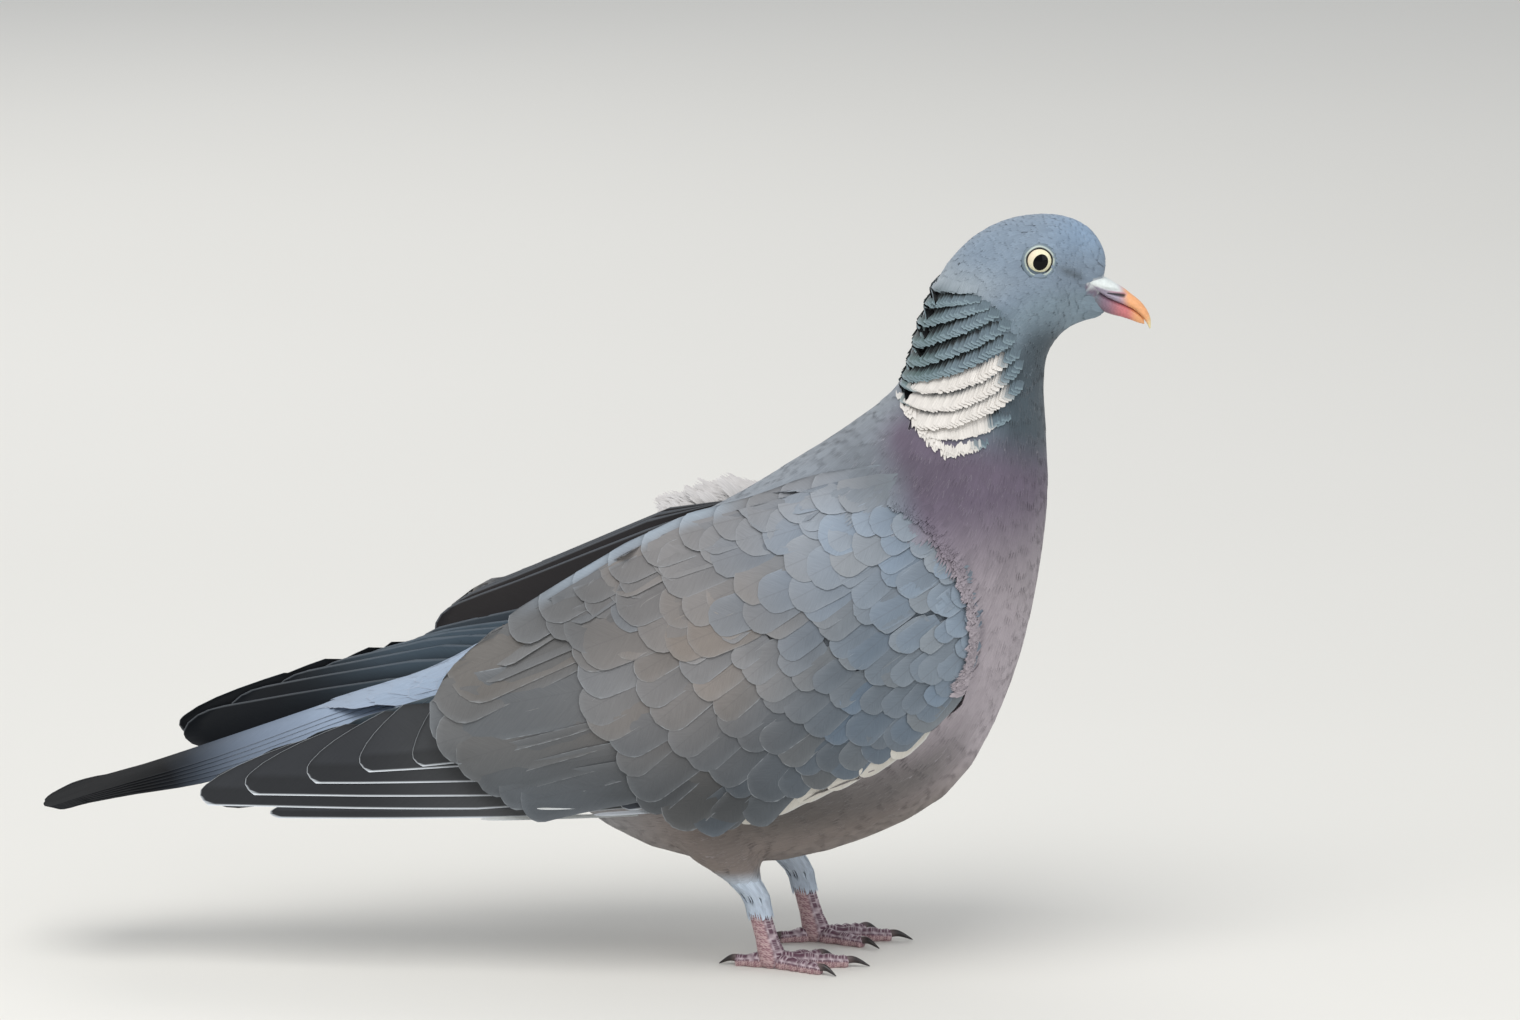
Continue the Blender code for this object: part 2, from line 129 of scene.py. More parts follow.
def soft_light(name, place, size, power, tint):
    """A square softbox aimed at the middle of the bird."""
    data = bpy.data.lights.new(name, "AREA")
    data.shape = "SQUARE"
    data.size = size
    data.energy = power
    data.color = tint
    lamp = add_object(name, data)
    lamp.location = place
    aim = Vector((0.04, 0.0, 0.12)) - Vector(place)
    lamp.rotation_mode = "QUATERNION"
    lamp.rotation_quaternion = aim.to_track_quat("-Z", "Y")


soft_light("overhead_key", (-0.35, -0.95, 1.75), 1.5, 26.0, (1.0, 0.985, 0.96))
soft_light("front_fill", (1.5, -1.4, 0.9), 1.4, 8.0, (0.96, 0.98, 1.0))
soft_light("back_rim", (-0.6, 1.7, 1.3), 1.4, 10.0, (1.0, 0.99, 0.97))
world = bpy.data.worlds.new("soft_sky")
world.use_nodes = True
sky = world.node_tree.nodes["Background"]
sky.inputs["Color"].default_value = (0.86, 0.89, 0.93, 1.0)
sky.inputs["Strength"].default_value = 0.62
bpy.context.scene.world = world
bpy.context.scene.view_settings.view_transform = "Standard"

# ---------------------------------------------------------------------------
# Skin: one seamless hide over head, neck, trunk, wings and feathered shanks,
# lying under the plumage by its depth. It carries the plumage's markings,
# faintly, so that nothing pale shows between feathers.
# ---------------------------------------------------------------------------
FLESH = (
    "head", "neck", "trunk", "shank_right", "shank_left",
    "wing_right", "wing_left", "tertials_right", "tertials_left",
)
MM = 0.001
COAT_DEPTH = 1.3 * MM
SIDES = (("right", -1), ("left", 1))
# level ovals of the tail's fleshy root: x, height, half width, half depth
TAIL_ROOT = (
    (-40.0, 84.0, 16.0, 15.0), (-58.0, 79.5, 16.0, 9.5), (-72.0, 78.5, 15.0, 5.6),
    (-86.0, 75.8, 14.0, 3.4), (-96.0, 73.5, 12.0, 1.9),
)


def round_about(count):
    """Angles evenly spaced round a ring."""
    return np.arange(count) * 2 * math.pi / count


def tail_root_tube(sides=16):
    """Fleshy root of the tail as points and triangles."""
    turn = round_about(sides)
    rings = [
        np.stack([np.full(sides, x), wide * np.sin(turn), z + deep * np.cos(turn)], 1) * MM
        for x, z, wide, deep in TAIL_ROOT
    ]
    faces = []
    for row in range(len(rings) - 1):
        for k in range(sides):
            a, b = row * sides + k, row * sides + (k + 1) % sides
            faces += [(a, b, b + sides), (a, b + sides, a + sides)]
    last = (len(rings) - 1) * sides
    for k in range(1, sides - 1):
        faces += [(0, k + 1, k), (last, last + k, last + k + 1)]
    return np.concatenate(rings), np.array(faces)


def read_points(mesh):
    """A mesh's corner points as one array."""
    points = np.empty(len(mesh.vertices) * 3, np.float32)
    mesh.vertices.foreach_get("co", points)
    return points.reshape(-1, 3).astype(float)


def read_triangles(mesh):
    """A mesh's faces as triangles of corner numbers."""
    mesh.calc_loop_triangles()
    index = np.empty(len(mesh.loop_triangles) * 3, np.int32)
    mesh.loop_triangles.foreach_get("vertices", index)
    return index.reshape(-1, 3)


def solids_of(nodes):
    """Points and triangles of several solids of the frame."""
    points, faces, start = [], [], 0
    for name in nodes:
        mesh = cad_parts[name].data
        points.append(read_points(mesh))
        faces.append(read_triangles(mesh) + start)
        start += len(mesh.vertices)
    return np.concatenate(points), np.concatenate(faces)


def unit(arrows):
    """Arrows of the same directions, one long."""
    return arrows / (np.linalg.norm(arrows, axis=-1, keepdims=True) + 1e-12)


def joined_surface(nodes, voxel, rounds):
    """One closed smooth surface wrapped round several solids."""
    points, faces = tail_root_tube()
    more_points, more_faces = solids_of(nodes)
    faces = np.concatenate([faces, more_faces + len(points)])
    mesh = bpy.data.meshes.new("wrap")
    mesh.from_pydata(np.concatenate([points, more_points]), [], faces.tolist())
    wrap = add_object("wrap", mesh)
    merge = wrap.modifiers.new("merge", "WELD")
    merge.merge_threshold = 0.00001
    remesh = wrap.modifiers.new("remesh", "REMESH")
    remesh.mode = "VOXEL"
    remesh.voxel_size = voxel
    relax = wrap.modifiers.new("relax", "SMOOTH")
    relax.factor = 0.5
    relax.iterations = rounds
    bpy.context.view_layer.update()
    graph = bpy.context.evaluated_depsgraph_get()
    made = bpy.data.meshes.new_from_object(wrap.evaluated_get(graph))
    bpy.data.objects.remove(wrap)
    return made


class Surface:
    """Triangles as arrays, with quick nearest-place and ray lookups."""

    def __init__(self, points, faces):
        self.points, self.faces = points, faces
        corners = points[faces]
        flat = np.cross(corners[:, 1] - corners[:, 0], corners[:, 2] - corners[:, 0])
        self.areas = np.linalg.norm(flat, axis=1) / 2
        normals = np.zeros_like(points)
        for corner in range(3):
            np.add.at(normals, faces[:, corner], flat)
        self.face_normals = unit(unit(normals)[faces].mean(axis=1))
        self.tree = BVHTree.FromPolygons(points.tolist(), faces.tolist())

    def nearest(self, places):
        """Closest points of the surface and its normals there."""
        hits = np.array(places, float)
        normals = np.zeros_like(hits)
        for index, place in enumerate(places):
            hits[index], _, face, _ = self.tree.find_nearest(place)
            normals[index] = self.face_normals[face]
        return hits, normals


def slim_face(mesh):
    """Narrows the face towards the bill and draws the chin out under it."""
    points = read_points(mesh)
    x, z = points[:, 0] / MM, points[:, 2] / MM
    ahead = np.clip((x - 145.0) / 12.0, 0.0, 1.0)
    share = ahead * ahead * (3 - 2 * ahead) * np.clip((z - 198.0) / 8.0, 0.0, 1.0)
    points[:, 1] *= 1.0 - 0.47 * share
    chin = np.clip((x - 150.0) / 10.0, 0.0, 1.0) * np.clip((212.5 - z) / 4.0, 0.0, 1.0)
    points[:, 0] += 4.0 * MM * chin * np.clip((z - 200.0) / 5.0, 0.0, 1.0)
    mesh.vertices.foreach_set("co", points.astype(np.float32).ravel())
    mesh.update()
    return mesh


skin_mesh = slim_face(joined_surface(FLESH, 1.7 * MM, 5))
form_mesh = slim_face(joined_surface(FLESH + ("eye_right", "eye_left", "tail"), 1.6 * MM, 4))
form = Surface(read_points(form_mesh), read_triangles(form_mesh))


def face_line(z):
    """How far forward the plumage of the face reaches at a height, in mm."""
    return np.interp(
        z, (204.0, 206.5, 208.8, 212.5, 217.6, 219.8, 222.0),
        (166.0, 165.6, 163.0, 159.0, 155.0, 161.6, 162.6),
    )


wing_solid = {
    side: Surface(*solids_of(("wing_" + side, "tertials_" + side)))
    for side, _ in SIDES
}


def wing_hit(side, sign, x, z):
    """Where a level line from one side meets the folded wing, if it does."""
    start = (x, sign * 0.1, z)
    return wing_solid[side].tree.ray_cast(start, (0.0, -sign, 0.0))[0]


# The middle line that the plumage flows along, from the bill to the tail.
FLOW_LINE = np.array((
    (163.0, 214.0), (155.0, 216.5), (146.0, 218.0), (136.0, 216.0),
    (128.0, 209.0), (123.5, 199.0), (121.0, 187.0), (117.5, 174.0),
    (111.0, 158.0), (99.0, 139.0), (82.0, 119.0), (60.0, 101.0),
    (34.0, 89.0), (6.0, 84.5), (-22.0, 84.0), (-48.0, 81.5),
    (-80.0, 77.0), (-130.0, 65.0), (-176.0, 50.0),
)) * MM
steps = np.linalg.norm(np.diff(FLOW_LINE, axis=0), axis=1)
flow_reach = np.concatenate([[0.0], np.cumsum(steps)])
FLOW_LENGTH = flow_reach[-1]
flow_at = np.linspace(0.0, FLOW_LENGTH, 220)
flow_points = np.stack([np.interp(flow_at, flow_reach, FLOW_LINE[:, axis]) for axis in (0, 1)], 1)
flow_aims = unit(np.gradient(flow_points, axis=0))


def along_body(places):
    """Reach along the body, the flow's aim and the turn round the middle."""
    places = np.asarray(places, float)
    reach = np.empty(len(places))
    aims = np.zeros((len(places), 3))
    turn = np.empty(len(places))
    for start in range(0, len(places), 20000):
        part = places[start:start + 20000]
        apart = (
            (part[:, None, 0] - flow_points[None, :, 0]) ** 2
            + (part[:, None, 2] - flow_points[None, :, 1]) ** 2
        )
        near = apart.min(axis=1, keepdims=True)
        weight = np.exp(-(apart - near) / (2 * (9.0 * MM) ** 2))
        weight /= weight.sum(axis=1, keepdims=True)
        aim = unit(weight @ flow_aims)
        middle = weight @ flow_points
        block = slice(start, start + len(part))
        reach[block] = weight @ flow_at
        aims[block, 0] = aim[:, 0]
        aims[block, 2] = aim[:, 1]
        up = (part[:, 0] - middle[:, 0]) * aim[:, 1] * -1
        up += (part[:, 2] - middle[:, 1]) * aim[:, 0]
        turn[block] = np.arctan2(part[:, 1], -up)
    return reach, aims, turn


def bake_spot(places):
    """Where a place lies on the hide unrolled along and round the body."""
    reach, _, turn = along_body(places)
    return 0.02 + 0.96 * np.stack([reach / FLOW_LENGTH, turn / (2 * math.pi) + 0.5], 1)


def smoothed(value, low, high):
    """0 below the low value, 1 above the high one, smooth between."""
    share = np.clip((value - low) / (high - low), 0.0, 1.0)
    return share * share * (3.0 - 2.0 * share)


def toward(base, other, share):
    """Moves colours towards another colour by a share from 0 to 1."""
    return base + (other - base) * share


def at_x(line, x):
    """Height of a line of places at a place along it."""
    return np.interp(x, line[:, 0], line[:, 1])


HEAD_SLATE = tone(126, 141, 157)
CROWN_BLUE = tone(134, 156, 180)
FACE_GREY = tone(126, 143, 155)
NAPE_GREY = tone(146, 156, 164)
LORE_DARK = tone(84, 94, 102)
THROAT_BLUE_SHADED = tone(70, 82, 90)
NECK_GREEN = tone(58, 76, 80)
NECK_MAUVE = tone(102, 92, 108)
BREAST_PINK = tone(170, 161, 167)
BELLY_BUFF = tone(130, 120, 115)
FLANK_SHADOW = tone(88, 86, 84)
VENT_PALE = tone(148, 148, 152)
MANTLE_GREY = tone(130, 137, 145)
RUMP_BLUE = tone(154, 170, 190)
SHANK_PALE = tone(196, 208, 222)
INNER_GAP_SHADOW = tone(70, 69, 70)
# painted light and shade: soft local lightening and darkening round some spots, as middle x and z,
# width, height, amount
BODY_LIGHT_AND_SHADE = (
    (86, 163, 12, 9, -0.27), (65, 151, 12, 8, 0.14), (106, 160, 14, 9, -0.2),
    (142, 197, 9, 8, -0.28), (132, 128, 16, 15, -0.16), (82, 52, 28, 8, -0.24),
)
CERE_SKIN = tone(206, 210, 212)
GAPE_MAUVE = tone(118, 106, 124)


def local_change(x, z, spots):
    """Factor that lightens or darkens the markings softly round some spots."""
    change = np.ones(len(x))
    for middle_x, middle_z, wide, tall, amount in spots:
        apart = ((x - middle_x) / wide) ** 2 + ((z - middle_z) / tall) ** 2
        change += amount * np.exp(-apart)
    return change[:, None]


def body_colour(places, normals):
    """Markings of head, neck, breast, belly, back and rump."""
    x, z = places[:, 0] / MM, places[:, 2] / MM
    width = np.abs(places[:, 1]) / MM
    top = np.cos(along_body(places)[2])
    lore = np.exp(-(((z - 222.5) - (x - 150.0) * -0.55) / 1.5) ** 2)
    # collar of the neck: how far down from the cheek and nape
    down = (218.0 - z) - 0.30 * (x - 118.0)
    collar = smoothed(down, 0, 8) * (1.0 - smoothed(down, 42, 52))
    chin = np.exp(-(((z - 199.0) / 7.0) ** 2)) * smoothed(-x, -152, -146)
    low = (176.0 - z) - 0.42 * (x - 118.0)
    fore = smoothed(x - 91.0 - 0.4 * (172.0 - z), -15, 6)
    breast = (150.0 - z) + 0.10 * (x - 130.0)
    shaded = np.exp(-(((z - 60.0 - 0.25 * (x - 85.0)) / 12.0) ** 2))
    inner = smoothed(normals[:, 1] * np.sign(places[:, 1]) * -1, 0.25, 0.6)
    bare = smoothed(x - face_line(z), -0.5, 0.3) * smoothed(z, 200, 206)
    bare = bare * smoothed(x, 152, 153.5)
    gape = np.interp(x, (152.6, 156.4, 159.4, 163.8), (218.6, 216.8, 215.1, 212.3))
    colour = np.tile(HEAD_SLATE, (len(places), 1))
    for paint, share in (
        (FACE_GREY, smoothed(-top, -0.35, 0.35)),
        (CROWN_BLUE, smoothed(x, 138, 158) * smoothed(z, 222, 234)),
        (LORE_DARK, 0.75 * lore * smoothed(x, 145, 150) * smoothed(width, 5, 8)),
        (NAPE_GREY, smoothed(top, 0.1, 0.8) * smoothed(down, -12, 2)),
        (NECK_GREEN, collar * smoothed(top, -0.35, 0.45) * smoothed(width, 3, 9)),
        # painted shade under the head: the throat and chin darkened from blue-grey to a deep slate
        (THROAT_BLUE_SHADED, smoothed(down, 6, 22) * smoothed(-top, -0.1, 0.6)),
        (THROAT_BLUE_SHADED, 0.8 * chin * smoothed(x, 132, 140)),
        (NECK_MAUVE, smoothed(low, -6, 12) * fore),
        (MANTLE_GREY, smoothed(low, -10, 8) * (1 - fore * smoothed(-top, -0.98, -0.6))),
        (BREAST_PINK, smoothed(breast, -6, 32) * smoothed(-top, -0.65, 0.2)),
        (MANTLE_GREY, smoothed(breast, -20, 0) * smoothed(top, 0.15, 0.6)),
        (BELLY_BUFF, smoothed(-z, -78, -46) * smoothed(-top, -0.1, 0.3)),
        # painted shadow low on the flanks, under the folded wing
        (FLANK_SHADOW, 0.75 * shaded * smoothed(-top, -0.2, 0.2)
         * smoothed(width, 20, 34) * smoothed(x, 20, 60)),
        (VENT_PALE, smoothed(-x, -34, 10) * smoothed(-top, 0.0, 0.4)),
        (RUMP_BLUE, smoothed(-x, -38, -10) * smoothed(top, 0.0, 0.35)),
        # painted shade: hide at the rear that faces inwards, into the narrow gap beside the back
        (INNER_GAP_SHADOW, inner * smoothed(width, 19, 23) * smoothed(-x, -60, -40)),
    ):
        colour = toward(colour, paint, share[:, None])
    colour = colour * local_change(x, z, BODY_LIGHT_AND_SHADE)
    for paint, share in (
        (SHANK_PALE, smoothed(-z, -33, -27)), (CERE_SKIN, bare),
        (GAPE_MAUVE, bare * smoothed(gape - z, -0.3, 0.3)),
    ):
        colour = toward(colour, paint, share[:, None])
    return colour


WING_BROWN = tone(127, 125, 125)
WING_BLUE = tone(120, 133, 146)
WING_SLATE = tone(88, 94, 100)
SHOULDER_PALE = tone(142, 152, 164)
TERTIAL_GREY = tone(106, 108, 110)
# painted light and shade on the folded wings: soft local lightening and darkening, as middle x and
# z, width, height, amount
WING_LIGHT_AND_SHADE = (
    (50, 78, 34, 15, -0.34), (-4, 118, 26, 16, -0.3), (82, 96, 26, 24, -0.25),
    (108, 118, 12, 14, 0.12), (-34, 90, 14, 12, -0.2), (34, 57, 26, 11, -0.42),
    (66, 151, 16, 9, 0.2), (49, 101, 14, 12, 0.12),
)
# how near its wing's outer face a place lies to be under the wing's feathers
WING_NEAR = 3.5 * MM


def wing_colour(seen):
    """Brown-grey above and behind, blue-grey in front, slate low down."""
    x, z = seen[..., 0].ravel(), seen[..., 1].ravel()
    colour = np.tile(WING_BROWN, (len(x), 1))
    shoulder = np.exp(-(((x - 74) / 30) ** 2) - (((z - 140) / 16) ** 2))
    for paint, share in (
        (WING_BLUE, 0.9 * smoothed(x + (112 - z) * 0.30, 38, 92)),
        (SHOULDER_PALE, 0.7 * shoulder),
        (TERTIAL_GREY, 0.8 * smoothed(-x, -22, 22)),
        (WING_SLATE, 0.85 * smoothed(-z, -92, -56)),
    ):
        colour = toward(colour, paint, share[:, None])
    colour = colour * local_change(x, z, WING_LIGHT_AND_SHADE)
    return colour.reshape(seen.shape[:-1] + (3,))


def store_shade(mesh, colour, strength):
    """Stores a colour on each corner point, and how strong its rim is."""
    full = np.ones((len(mesh.vertices), 4), np.float32)
    full[:, :3] = colour.reshape(-1, 3)
    full[:, 3] = strength
    layer = mesh.color_attributes.new("shade", "FLOAT_COLOR", "POINT")
    layer.data.foreach_set("color", full.ravel())


skin_points = read_points(skin_mesh)
skin_normals = np.empty(len(skin_points) * 3, np.float32)
skin_mesh.vertices.foreach_get("normal", skin_normals)
skin_normals = skin_normals.reshape(-1, 3).astype(float)
skin_colour = body_colour(skin_points, skin_normals)
on_wing = (np.abs(skin_normals[:, 1]) > 0.04) | (skin_points[:, 0] < -0.03)
on_wing &= skin_points[:, 0] < 0.112
for side, sign in SIDES:
    for index in np.where(on_wing & (skin_points[:, 1] * sign > 0.02))[0]:
        x, y, z = skin_points[index]
        if skin_normals[index, 1] * sign > (0.0 if x > -0.03 else -0.5):
            hit = wing_hit(side, sign, x, z)
            rear = x < -0.02 and z > 0.06 and (hit is None or x < -0.03)
            if rear or (hit is not None and abs(hit[1] - y) < WING_NEAR):
                seen = np.array([[x / MM, z / MM]])
                skin_colour[index] = wing_colour(seen)[0]
# the coat is shortest on the head, and thickest behind the tertials
shallow = 1.0 - 0.68 * smoothed(skin_points[:, 2:], 0.185, 0.205)
outer = (skin_normals[:, 1] * skin_points[:, 1] > 0) & (np.abs(skin_points[:, 1]) > 0.02)
outer &= (skin_points[:, 0] < -0.026) & (skin_points[:, 2] > 0.056)
shallow[outer] = 1.6
lowered = skin_points - skin_normals * COAT_DEPTH * shallow
tuck = 2.6 * MM * smoothed(-skin_points[outer, 0], 0.031, 0.040)
lowered[outer, 1] -= np.sign(skin_points[outer, 1]) * tuck
skin_mesh.vertices.foreach_set("co", lowered.astype(np.float32).ravel())
# painted shade: the hide is darker between the feathers, where they shade it, less so on the
# close-set head
depth = 0.88 + 0.08 * smoothed(skin_points[:, 2], 0.185, 0.2)
store_shade(skin_mesh, skin_colour * depth[:, None], 1.0)
skin_mesh.shade_smooth()
skin = add_object("skin", skin_mesh)


def math_node(tree, operation, first, second=None, third=None):
    """One sum on numbers or on other nodes' results."""
    node = tree.nodes.new("ShaderNodeMath")
    node.operation = operation
    for slot, value in enumerate((first, second, third)):
        if isinstance(value, (int, float)):
            node.inputs[slot].default_value = value
        elif value is not None:
            tree.links.new(value, node.inputs[slot])
    return node.outputs[0]


def add_relief(tree, shader, height, strength, deep):
    """Fine bumps on a surface from a pattern of heights."""
    bumps = add_node(tree, "ShaderNodeBump", Strength=strength, Distance=deep)
    tree.links.new(height, bumps.inputs["Height"])
    tree.links.new(bumps.outputs[0], shader.inputs["Normal"])


hide, tree, shader = new_material("hide_under_plumage")
stain = add_node(tree, "ShaderNodeVertexColor", layer_name="shade")
pores = add_node(tree, "ShaderNodeTexNoise", Scale=900.0, Detail=4.0)
tree.links.new(
    colour_mix(
        tree, math_node(tree, "MULTIPLY", pores.outputs[0], 0.2),
        stain.outputs[0], tone(104, 100, 104),
    ),
    shader.inputs["Base Color"],
)
add_relief(tree, shader, pores.outputs[0], 0.3, 0.4 * MM)
shader.inputs["Roughness"].default_value = 0.85
skin.data.materials.append(hide)
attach(skin, "root")
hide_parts(*FLESH)

# ---------------------------------------------------------------------------
# Small body feathers: short soft vanes of head, neck, breast, belly, back
# and shanks. Each grows from the hide, lies back along the body and ends in
# a loose frayed tip over the roots of the next.
# ---------------------------------------------------------------------------


def scatter_roots(seed, count, spacing_at, keep_at):
    """Evenly scattered places on the body, closer where spacing is small."""
    chance = np.random.default_rng(seed)
    share = form.areas / form.areas.sum()
    pick = chance.choice(len(share), size=count, p=share)
    a, b = chance.random((2, count))
    flip = a + b > 1
    a[flip], b[flip] = 1 - a[flip], 1 - b[flip]
    corner = form.points[form.faces[pick]]
    places = (
        corner[:, 0]
        + a[:, None] * (corner[:, 1] - corner[:, 0])
        + b[:, None] * (corner[:, 2] - corner[:, 0])
    )
    normals = form.face_normals[pick]
    keep = keep_at(places, normals)
    places, normals = places[keep], normals[keep]
    spacing = spacing_at(places)
    near = KDTree(len(places))
    for index, place in enumerate(places):
        near.insert(place, index)
    near.balance()
    free = np.ones(len(places), bool)
    chosen = []
    for index, place in enumerate(places):
        if free[index]:
            chosen.append(index)
            for _, other, _ in near.find_range(place, spacing[index]):
                free[other] = False
    return places[chosen], normals[chosen], spacing[chosen]


def columns_end(across, length, half, blunt, fray):
    """How far each column of barbs reaches towards the tip."""
    fall = 1.0 - np.sqrt(np.clip(1.0 - across**2, 0.0, 1.0))
    return length[:, None] - half[:, None] * blunt * fall[None] - fray


def vane_width(v, root_share):
    """Width of a vane from its narrow root to its full middle."""
    return root_share + (1.0 - root_share) * smoothed(v, -0.05, 0.42)


def vane_sides(across, rows, root_share, half):
    """How far each place of each vane lies to the side of its shaft."""
    spread = vane_width(rows, root_share)
    return across[None, None] * spread[None, :, None] * half[:, None, None]


# steps in which a vane is laid along the body, and its width at the root as
# a share of its full width
DRAPE_STEPS = 7
DRAPE_ROOT = 0.45


def drape_vanes(roots, aims, length, width, rows, across, settings, fray):
    """Lays vanes on the form: points, vane places in mm and normals."""
    count = len(roots)
    middle = np.empty((DRAPE_STEPS, count, 3))
    upright = np.empty_like(middle)
    ahead = np.empty_like(middle)
    place, normal = form.nearest(roots)
    aim = np.array(aims)
    for step in range(DRAPE_STEPS):
        if step:
            place, normal = form.nearest(place + aim * (length / (DRAPE_STEPS - 1))[:, None])
        aim = unit(aim - (aim * normal).sum(1)[:, None] * normal)
        middle[step], upright[step], ahead[step] = place, normal, aim
        # each step turns partly the way that the plumage flows there
        if settings.get("follow", True):
            turned = aim + 0.5 * along_body(place)[1]
            aim = unit(turned - (turned * normal).sum(1)[:, None] * normal)
    half = width / 2
    ends = columns_end(across, length, half, settings["blunt"], fray)
    along = rows[None, :, None] * ends[:, None, :]
    spot = np.clip(along / length[:, None, None], 0.0, 1.0) * (DRAPE_STEPS - 1)
    low = np.clip(spot.astype(int), 0, DRAPE_STEPS - 2)
    part = (spot - low)[..., None]
    who = np.arange(count)[:, None, None]

    def between(values):
        return values[low, who] * (1 - part) + values[low + 1, who] * part

    base, up, fore = between(middle), unit(between(upright)), between(ahead)
    over = vane_sides(across, rows, DRAPE_ROOT, half)
    points = base + np.cross(up, fore) * over[..., None]
    hits, _ = form.nearest(points.reshape(-1, 3))
    gap = ((points - hits.reshape(points.shape)) * up).sum(-1)
    low_at, high_at = settings["heights"]
    height = low_at + (high_at - low_at) * rows[None, :, None]
    height = height - 0.2 * MM * across[None, None] ** 2
    height = height + settings.get("extra", np.zeros(count))[:, None, None]
    points = points + up * (height - gap)[..., None]
    rim = vane_sides(1.0 - np.abs(across), rows, DRAPE_ROOT, half)
    rim = np.minimum(rim, ends[:, None, :] - along)
    return points, np.stack([over / MM, along / MM, rim / MM], -1), up


# side of the patch that each vane takes on the unrolled hide
BAKE_PATCH = 0.003
# step between the numbers of two vanes, by which their streaks differ
LOT_STEP = 0.618


def make_vanes(name, points, flat, shade, rim_share, roots, up, crisp, thick=None, under=None):
    """One joined mesh of many vanes, with their paint and bake patches. With
    a thickness they are closed: an upper and an under face with a rim. Soft
    vanes that would fold over themselves are left out: others cover them."""
    shade = np.broadcast_to(shade, points.shape)
    if crisp < 0.1:
        one = points[:, 1:, 1:] - points[:, :-1, :-1]
        other = points[:, 1:, :-1] - points[:, :-1, 1:]
        facing = (np.cross(one, other) * up[:, :-1, :-1]).sum(-1)
        facing = facing * np.sign(facing.mean(axis=(1, 2)))[:, None, None]
        flat_lying = facing.min(axis=(1, 2)) > 0
        points, flat, shade, rim_share, roots, up = (
            part[flat_lying] for part in (points, flat, shade, rim_share, roots, up)
        )
    count, high, wide = points.shape[:3]
    grid = np.arange(count * high * wide).reshape(count, high, wide)
    faces = np.stack([grid[:, :-1, :-1], grid[:, :-1, 1:], grid[:, 1:, 1:], grid[:, 1:, :-1]], -1)
    row, column = high // 2, wide // 2
    over = points[:, row, column + 1] - points[:, row, column - 1]
    along = points[:, row + 1, column] - points[:, row - 1, column]
    inward = (np.cross(over, along) * up[:, row, column]).sum(1) < 0
    faces[inward] = faces[inward][..., ::-1]
    faces = faces.reshape(-1, 4)
    local = np.stack(np.meshgrid(np.linspace(0, 1, wide), np.linspace(0, 1, high)), -1)
    centre = bake_spot(roots)[:, None, None, :]
    spots = (centre + (local[None] - 0.5) * BAKE_PATCH).reshape(-1, 2)
    lots = (np.arange(count) * LOT_STEP % 1.0)[:, None, None] * np.ones((1, high, wide))
    if thick is not None:
        half = points.size // 3
        rim = np.concatenate([
            grid[:, 0, :-1], grid[:, :-1, -1], grid[:, -1, :0:-1], grid[:, :0:-1, 0],
        ], 1)
        after = np.roll(rim, -1, axis=1)
        wall = np.stack([rim, rim + half, after + half, after], -1)
        wall[inward] = wall[inward][..., ::-1]
        faces = np.concatenate([faces, faces[:, ::-1] + half, wall[..., ::-1].reshape(-1, 4)])
        points = np.stack([points, points - up * thick])
        up = np.stack([up, -up])
        flat = np.stack([flat, flat])
        shade = np.stack([shade, shade if under is None else np.broadcast_to(under, shade.shape)])
        rim_share = np.concatenate([rim_share, rim_share * 0.3])
        spots = np.concatenate([spots, spots + BAKE_PATCH])
        lots = np.concatenate([lots, lots])
    mesh = bpy.data.meshes.new(name)
    mesh.vertices.add(points.size // 3)
    mesh.vertices.foreach_set("co", points.astype(np.float32).ravel())
    mesh.loops.add(faces.size)
    mesh.polygons.add(len(faces))
    mesh.polygons.foreach_set("loop_start", np.arange(0, faces.size, 4))
    mesh.polygons.foreach_set("vertices", faces.ravel())
    mesh.update(calc_edges=True)
    mesh.shade_smooth()
    made = np.empty(points.size, np.float32)
    mesh.vertices.foreach_get("normal", made)
    soft = unit(up * (1 - crisp) + made.reshape(points.shape) * crisp)
    mesh.normals_split_custom_set_from_vertices(soft.reshape(-1, 3))
    store_shade(mesh, shade, np.repeat(rim_share, high * wide))
    layer = mesh.attributes.new("vane", "FLOAT_VECTOR", "POINT")
    layer.data.foreach_set("vector", flat.astype(np.float32).ravel())
    layer = mesh.attributes.new("lot", "FLOAT", "POINT")
    layer.data.foreach_set("value", lots.astype(np.float32).ravel())
    bake = mesh.uv_layers.new(name="OFBake")
    bake.data.foreach_set("uv", spots[faces.ravel()].astype(np.float32).ravel())
    return add_object(name, mesh)


def ramp_between(tree, value, low, high):
    """0 below the low value, 1 above the high one, smooth between."""
    node = tree.nodes.new("ShaderNodeMapRange")
    node.interpolation_type = "SMOOTHSTEP"
    node.inputs["From Min"].default_value = low
    node.inputs["From Max"].default_value = high
    tree.links.new(value, node.inputs["Value"])
    return node.outputs["Result"]


def tinted(tree, colour, factor):
    """A colour made lighter or darker by a factor."""
    node = add_node(tree, "ShaderNodeVectorMath", operation="SCALE")
    tree.links.new(colour, node.inputs[0])
    tree.links.new(factor, node.inputs["Scale"])
    return node.outputs[0]


